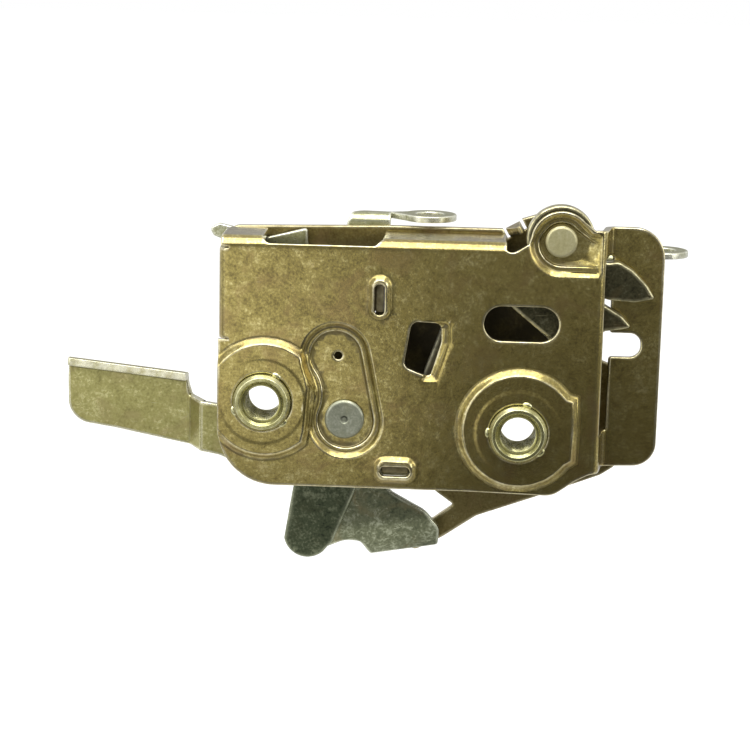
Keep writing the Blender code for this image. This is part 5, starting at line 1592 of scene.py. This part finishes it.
@dataclass
class LockingLevers:
    """The sill and key levers behind the rear plate and the cam inside."""

    sheet: float = 1.6
    hub_r: float = 7.0
    cam_hub: float = 6.5
    pin_r: float = 3.65
    eye_r: float = 6.9
    hole_r: float = 3.45
    sill_eye: Place = (-24.0, 22.6, 52.0)
    sill_neck: float = -33.65
    key_eye: Place = (36.2, 28.5, 43.5)
    key_neck: float = 26.85

    def rod_fold(self, eye: Place, neck: float) -> tuple[Fold, float, float]:
        """The bend that turns a lever's end back into a level eye.

        Args:
            eye: The eye's middle and the level of its top face.
            neck: Beyond this x the tab is free of the upright part.

        Returns:
            The fold, the blank height of the eye and that of the bend's end.
        """
        r = self.sheet + 0.8
        start = eye[2] - r
        quarter = r * QUARTER
        fold = Fold((0, start), (0, 1), [(quarter, QUARTER)], (-60, 60), slit=lambda u, v: u > neck)
        return fold, start + quarter + eye[1] - ROD_Y - r, start + quarter

    def lever(self, outline: Outline, pivot: Point, eye: Point, fold: Fold) -> Sheet:
        """One of the two levers with a rod eye.

        Args:
            outline: The blank's outline.
            pivot: Where it turns.
            eye: The eye's middle in the blank.
            fold: The bend before the eye.

        Returns:
            The sheet.
        """
        holes = [pin_hole(pivot, self.pin_r), circle(eye, self.hole_r, 40)]
        return Sheet(outline, self.sheet, ROD_Y, holes, [], [fold], roll=0.35)

    def sill(self) -> Sheet:
        """The rocker for the sill button's rod.

        Returns:
            The sheet.
        """
        neck = self.sill_neck
        fold, eye_v, bend_end = self.rod_fold(self.sill_eye, neck)
        middle = (self.sill_eye[0], eye_v)
        hub = arc(SILL_PIVOT, self.hub_r, 120, 300)
        eye = arc(middle, self.eye_r, -150, 150)
        riser = rounded([
            hub[-1], (-42.5, 34.5, 6), (-36.2, 44.0, 4), (neck - GAP, 47.5), (neck - GAP, bend_end + 0.6),
            eye[0],
        ])
        back = rounded([
            eye[-1], (-34.1, eye_v + 1.8, 3), (-41.6, eye_v + 3.0, 3), (-43.8, bend_end, 3), (-45.8, 47.0, 4),
            (-50.0, 44.5, 4), (-64.0, 45.2, 10), (-78.0, 48.2, 1.2), (-80.6, 47.0, 1.6), (-79.5, 45.0, 1.4),
            (-64.0, 39.5, 10), hub[0],
        ])
        return self.lever(hub + riser[1:-1] + eye + back[1:-1], SILL_PIVOT, middle, fold)

    def key(self) -> Sheet:
        """The lever for the key rod.

        Returns:
            The sheet.
        """
        neck = self.key_neck
        fold, eye_v, bend_end = self.rod_fold(self.key_eye, neck)
        middle = (self.key_eye[0], eye_v)
        hub = arc(KEY_PIVOT, self.hub_r, 60, 300)
        eye = arc(middle, self.eye_r, -140, 150)
        low = rounded([
            hub[-1], (18.0, 32.0, 6), (neck - GAP, 35.0, 2), (neck - GAP, bend_end + 0.6), eye[0],
        ])
        back = rounded([
            eye[-1], (26.35, eye_v + 3.0, 4), (19.35, eye_v - 2.0, 3), (17.85, bend_end - 2.0, 2),
            (16.0, 41.2, 6), hub[0],
        ])
        return self.lever(hub + low[1:-1] + eye + back[1:-1], KEY_PIVOT, middle, fold)

    def cam(self) -> Sheet:
        """The inner locking lever, whose upper end shows in the top slot.

        Returns:
            The sheet.
        """
        hub = arc(SILL_PIVOT, self.cam_hub, -20, 60)
        arm = rounded([
            hub[-1], (-54.7, 44.0, 1), (-54.9, 48.4, 0.7), (-65.9, 45.6, 0.7), (-65.9, 43.9, 0.7),
            (-62.0, 41.8, 2), (-57.0, 33.0, 4), (-54.0, 15.0, 2.5), (-49.0, 13.5, 2), (-47.5, 25.0, 6),
            hub[0],
        ])
        return Sheet(hub + arm[1:-1], HEAVY_SHEET, CAM_Y, [pin_hole(SILL_PIVOT, self.pin_r)])

    def build(self) -> None:
        """Builds and dresses the locking levers."""
        dress(self.sill().mesh("sill_eye_lever"), PALE_ZINC, "sill_lever", "sill_body")
        dress(self.key().mesh("key_eye_lever"), PALE_ZINC, "key_lever", "key_body")
        dress(self.cam().mesh("lock_cam_arm"), PALE_ZINC, "lock_cam", "sill_body")


@dataclass
class Studio:
    """Floor, lights, world and camera."""

    lens: float = 100.8
    eye: Place = (-15.619, -514.065, 123.272)
    forward: Place = (-0.03925, 0.97736, -0.20791)
    roll: float = math.radians(1.3)
    aim: Place = (-20, 5, 15)
    floor_z: float = -62.0
    floor_half: float = 4000.0
    floor_grey: float = 0.35
    floor_glow: float = 0.74

    def camera(self) -> None:
        """Sets the camera where the photograph was taken."""
        forward = Vector(self.forward).normalized()
        right = forward.cross(Vector((0, 0, 1))).normalized()
        up = right.cross(forward)
        turned_right = right * math.cos(self.roll) + up * math.sin(self.roll)
        turned_up = up * math.cos(self.roll) - right * math.sin(self.roll)
        camera = bpy.data.objects.new("camera", bpy.data.cameras.new("camera"))
        bpy.context.scene.collection.objects.link(camera)
        camera.data.lens = self.lens
        camera.data.sensor_width = 36.0
        camera.data.clip_start = 0.01
        axes = Matrix((turned_right, turned_up, -forward)).transposed().to_4x4()
        camera.matrix_world = Matrix.Translation(Vector(self.eye) * MM) @ axes
        bpy.context.scene.camera = camera

    def lamp(self, name: str, place: Place, size: Point, watts: float) -> None:
        """Adds a soft box that faces the lock.

        Args:
            name: Its name.
            place: Where it stands.
            size: Its width and height.
            watts: Its power.
        """
        light = bpy.data.lights.new(name, "AREA")
        light.shape = "RECTANGLE"
        light.size, light.size_y = size[0] * MM, size[1] * MM
        light.energy = watts
        lamp = bpy.data.objects.new(name, light)
        bpy.context.scene.collection.objects.link(lamp)
        lamp.location = Vector(place) * MM
        way = Vector([c * MM for c in self.aim]) - lamp.location
        lamp.rotation_euler = way.to_track_quat("-Z", "Y").to_euler()

    def rays(self, wire: Wiring) -> tuple[Socket, Socket]:
        """Whether a ray comes straight or through glass to the eye, and whether it is mirrored."""
        path = wire.put("LightPath").outputs
        return wire.calc("MAXIMUM", path["Is Camera Ray"], path["Is Transmission Ray"]), path["Is Glossy Ray"]

    def world(self) -> None:
        """A white surround for the eye, brighter above and behind the lock than in front of it."""
        world = bpy.data.worlds.new("studio")
        bpy.context.scene.world = world
        world.use_nodes = True
        wire = Wiring(world.node_tree)
        sky = wire.axes(wire.put("TexCoord").outputs["Generated"])
        level = wire.plus(
            wire.spread(sky["Z"], 0.25, 0.8, 0.0, 0.45), wire.spread(sky["X"], -0.12, -0.28, 0.0, 1.0),
            wire.spread(sky["X"], 0.22, 0.60, 0.0, 0.75), wire.spread(sky["Y"], -0.3, 0.6, 0.10, 0.40),
        )
        surround = wire.tree.nodes["Background"]
        wire.feed(surround, {"Color": wire.calc("MINIMUM", level, 1.0)})
        white = wire.put("Background", {"Color": (1, 1, 1, 1)})
        seen, glossy = self.rays(wire)
        mirrored = wire.times(glossy, wire.spread(sky["Z"], 0.25, 0.9, 0.05, 0.5))
        wire.mix_shaders(wire.calc("MAXIMUM", seen, mirrored), surround, white, "World Output")

    def floor(self) -> None:
        """A plain white floor well below the lock that keeps a faint shadow.

        Polished metal mirrors it as a studio table: darker in front of the lock, lighter to its left and
        further away. The slant is the way a mirror ray from the plate leans to one side.
        """
        half, z = self.floor_half * MM, self.floor_z * MM
        corners = [(-half, -half, z), (half, -half, z), (half, half, z), (-half, half, z)]
        mesh = bpy.data.meshes.new("floor")
        mesh.from_pydata(corners, [], [(0, 1, 2, 3)])
        floor = bpy.data.objects.new("floor", mesh)
        bpy.context.scene.collection.objects.link(floor)
        made = bpy.data.materials.new("white_floor")
        made.use_nodes = True
        wire = Wiring(made.node_tree)
        shader = wire.tree.nodes["Principled BSDF"]
        grey = self.floor_grey
        wire.feed(shader, {"Base Color": (grey, grey, grey, 1), "Roughness": 0.9, "Specular IOR Level": 0.0})
        axes = wire.axes(wire.place())
        x, y = axes["X"], axes["Y"]
        slant = wire.calc("DIVIDE", wire.calc("ADD", x, 0.02), wire.spread(y, 0.06, -3.94, 0.02, 4.02))
        mirrored = wire.plus(
            wire.times(wire.spread(slant, -0.14, -0.26, 0.0, 1.30), wire.spread(y, -0.13, -0.32, 0.20, 1.0)),
            wire.spread(y, -0.25, -0.80, 0.06, 0.30), wire.spread(y, -0.085, -0.045, 0.0, 0.7),
        )
        shine = wire.put("Emission", {"Strength": mirrored})
        seen, glossy = self.rays(wire)
        glow = wire.put("Emission", {"Strength": wire.times(seen, self.floor_glow)})
        lit = wire.put("AddShader", {0: shader.outputs[0], 1: glow.outputs[0]})
        wire.mix_shaders(glossy, lit, shine, "Material Output")
        mesh.materials.append(made)

    def build(self) -> None:
        """Builds the studio."""
        self.camera()
        self.world()
        self.floor()
        self.lamp("top_box", (-80, -290, 580), (760, 640), 7.4)
        self.lamp("left_box", (-520, -420, 260), (260, 420), 0.8)
        self.lamp("right_box", (520, -300, 150), (260, 420), 0.9)
        bpy.context.scene.view_settings.view_transform = "Standard"


def main() -> None:
    """Builds the lock's pieces in order and the studio round them."""
    logging.basicConfig(level=logging.INFO, format="%(name)s: %(message)s")
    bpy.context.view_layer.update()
    assemblies = (
        Studio(), Housing(), Bush("right_bush", RIGHT_BUSH, (74.0, 180.0, -39.0)),
        Bush("left_bush", LEFT_BUSH, (62.0, 200.0, -45.0)), Rivets(), Catch(), ReleaseLevers(),
        LockingLevers(),
    )
    for assembly in assemblies:
        assembly.build()


if __name__ == "__main__":
    main()
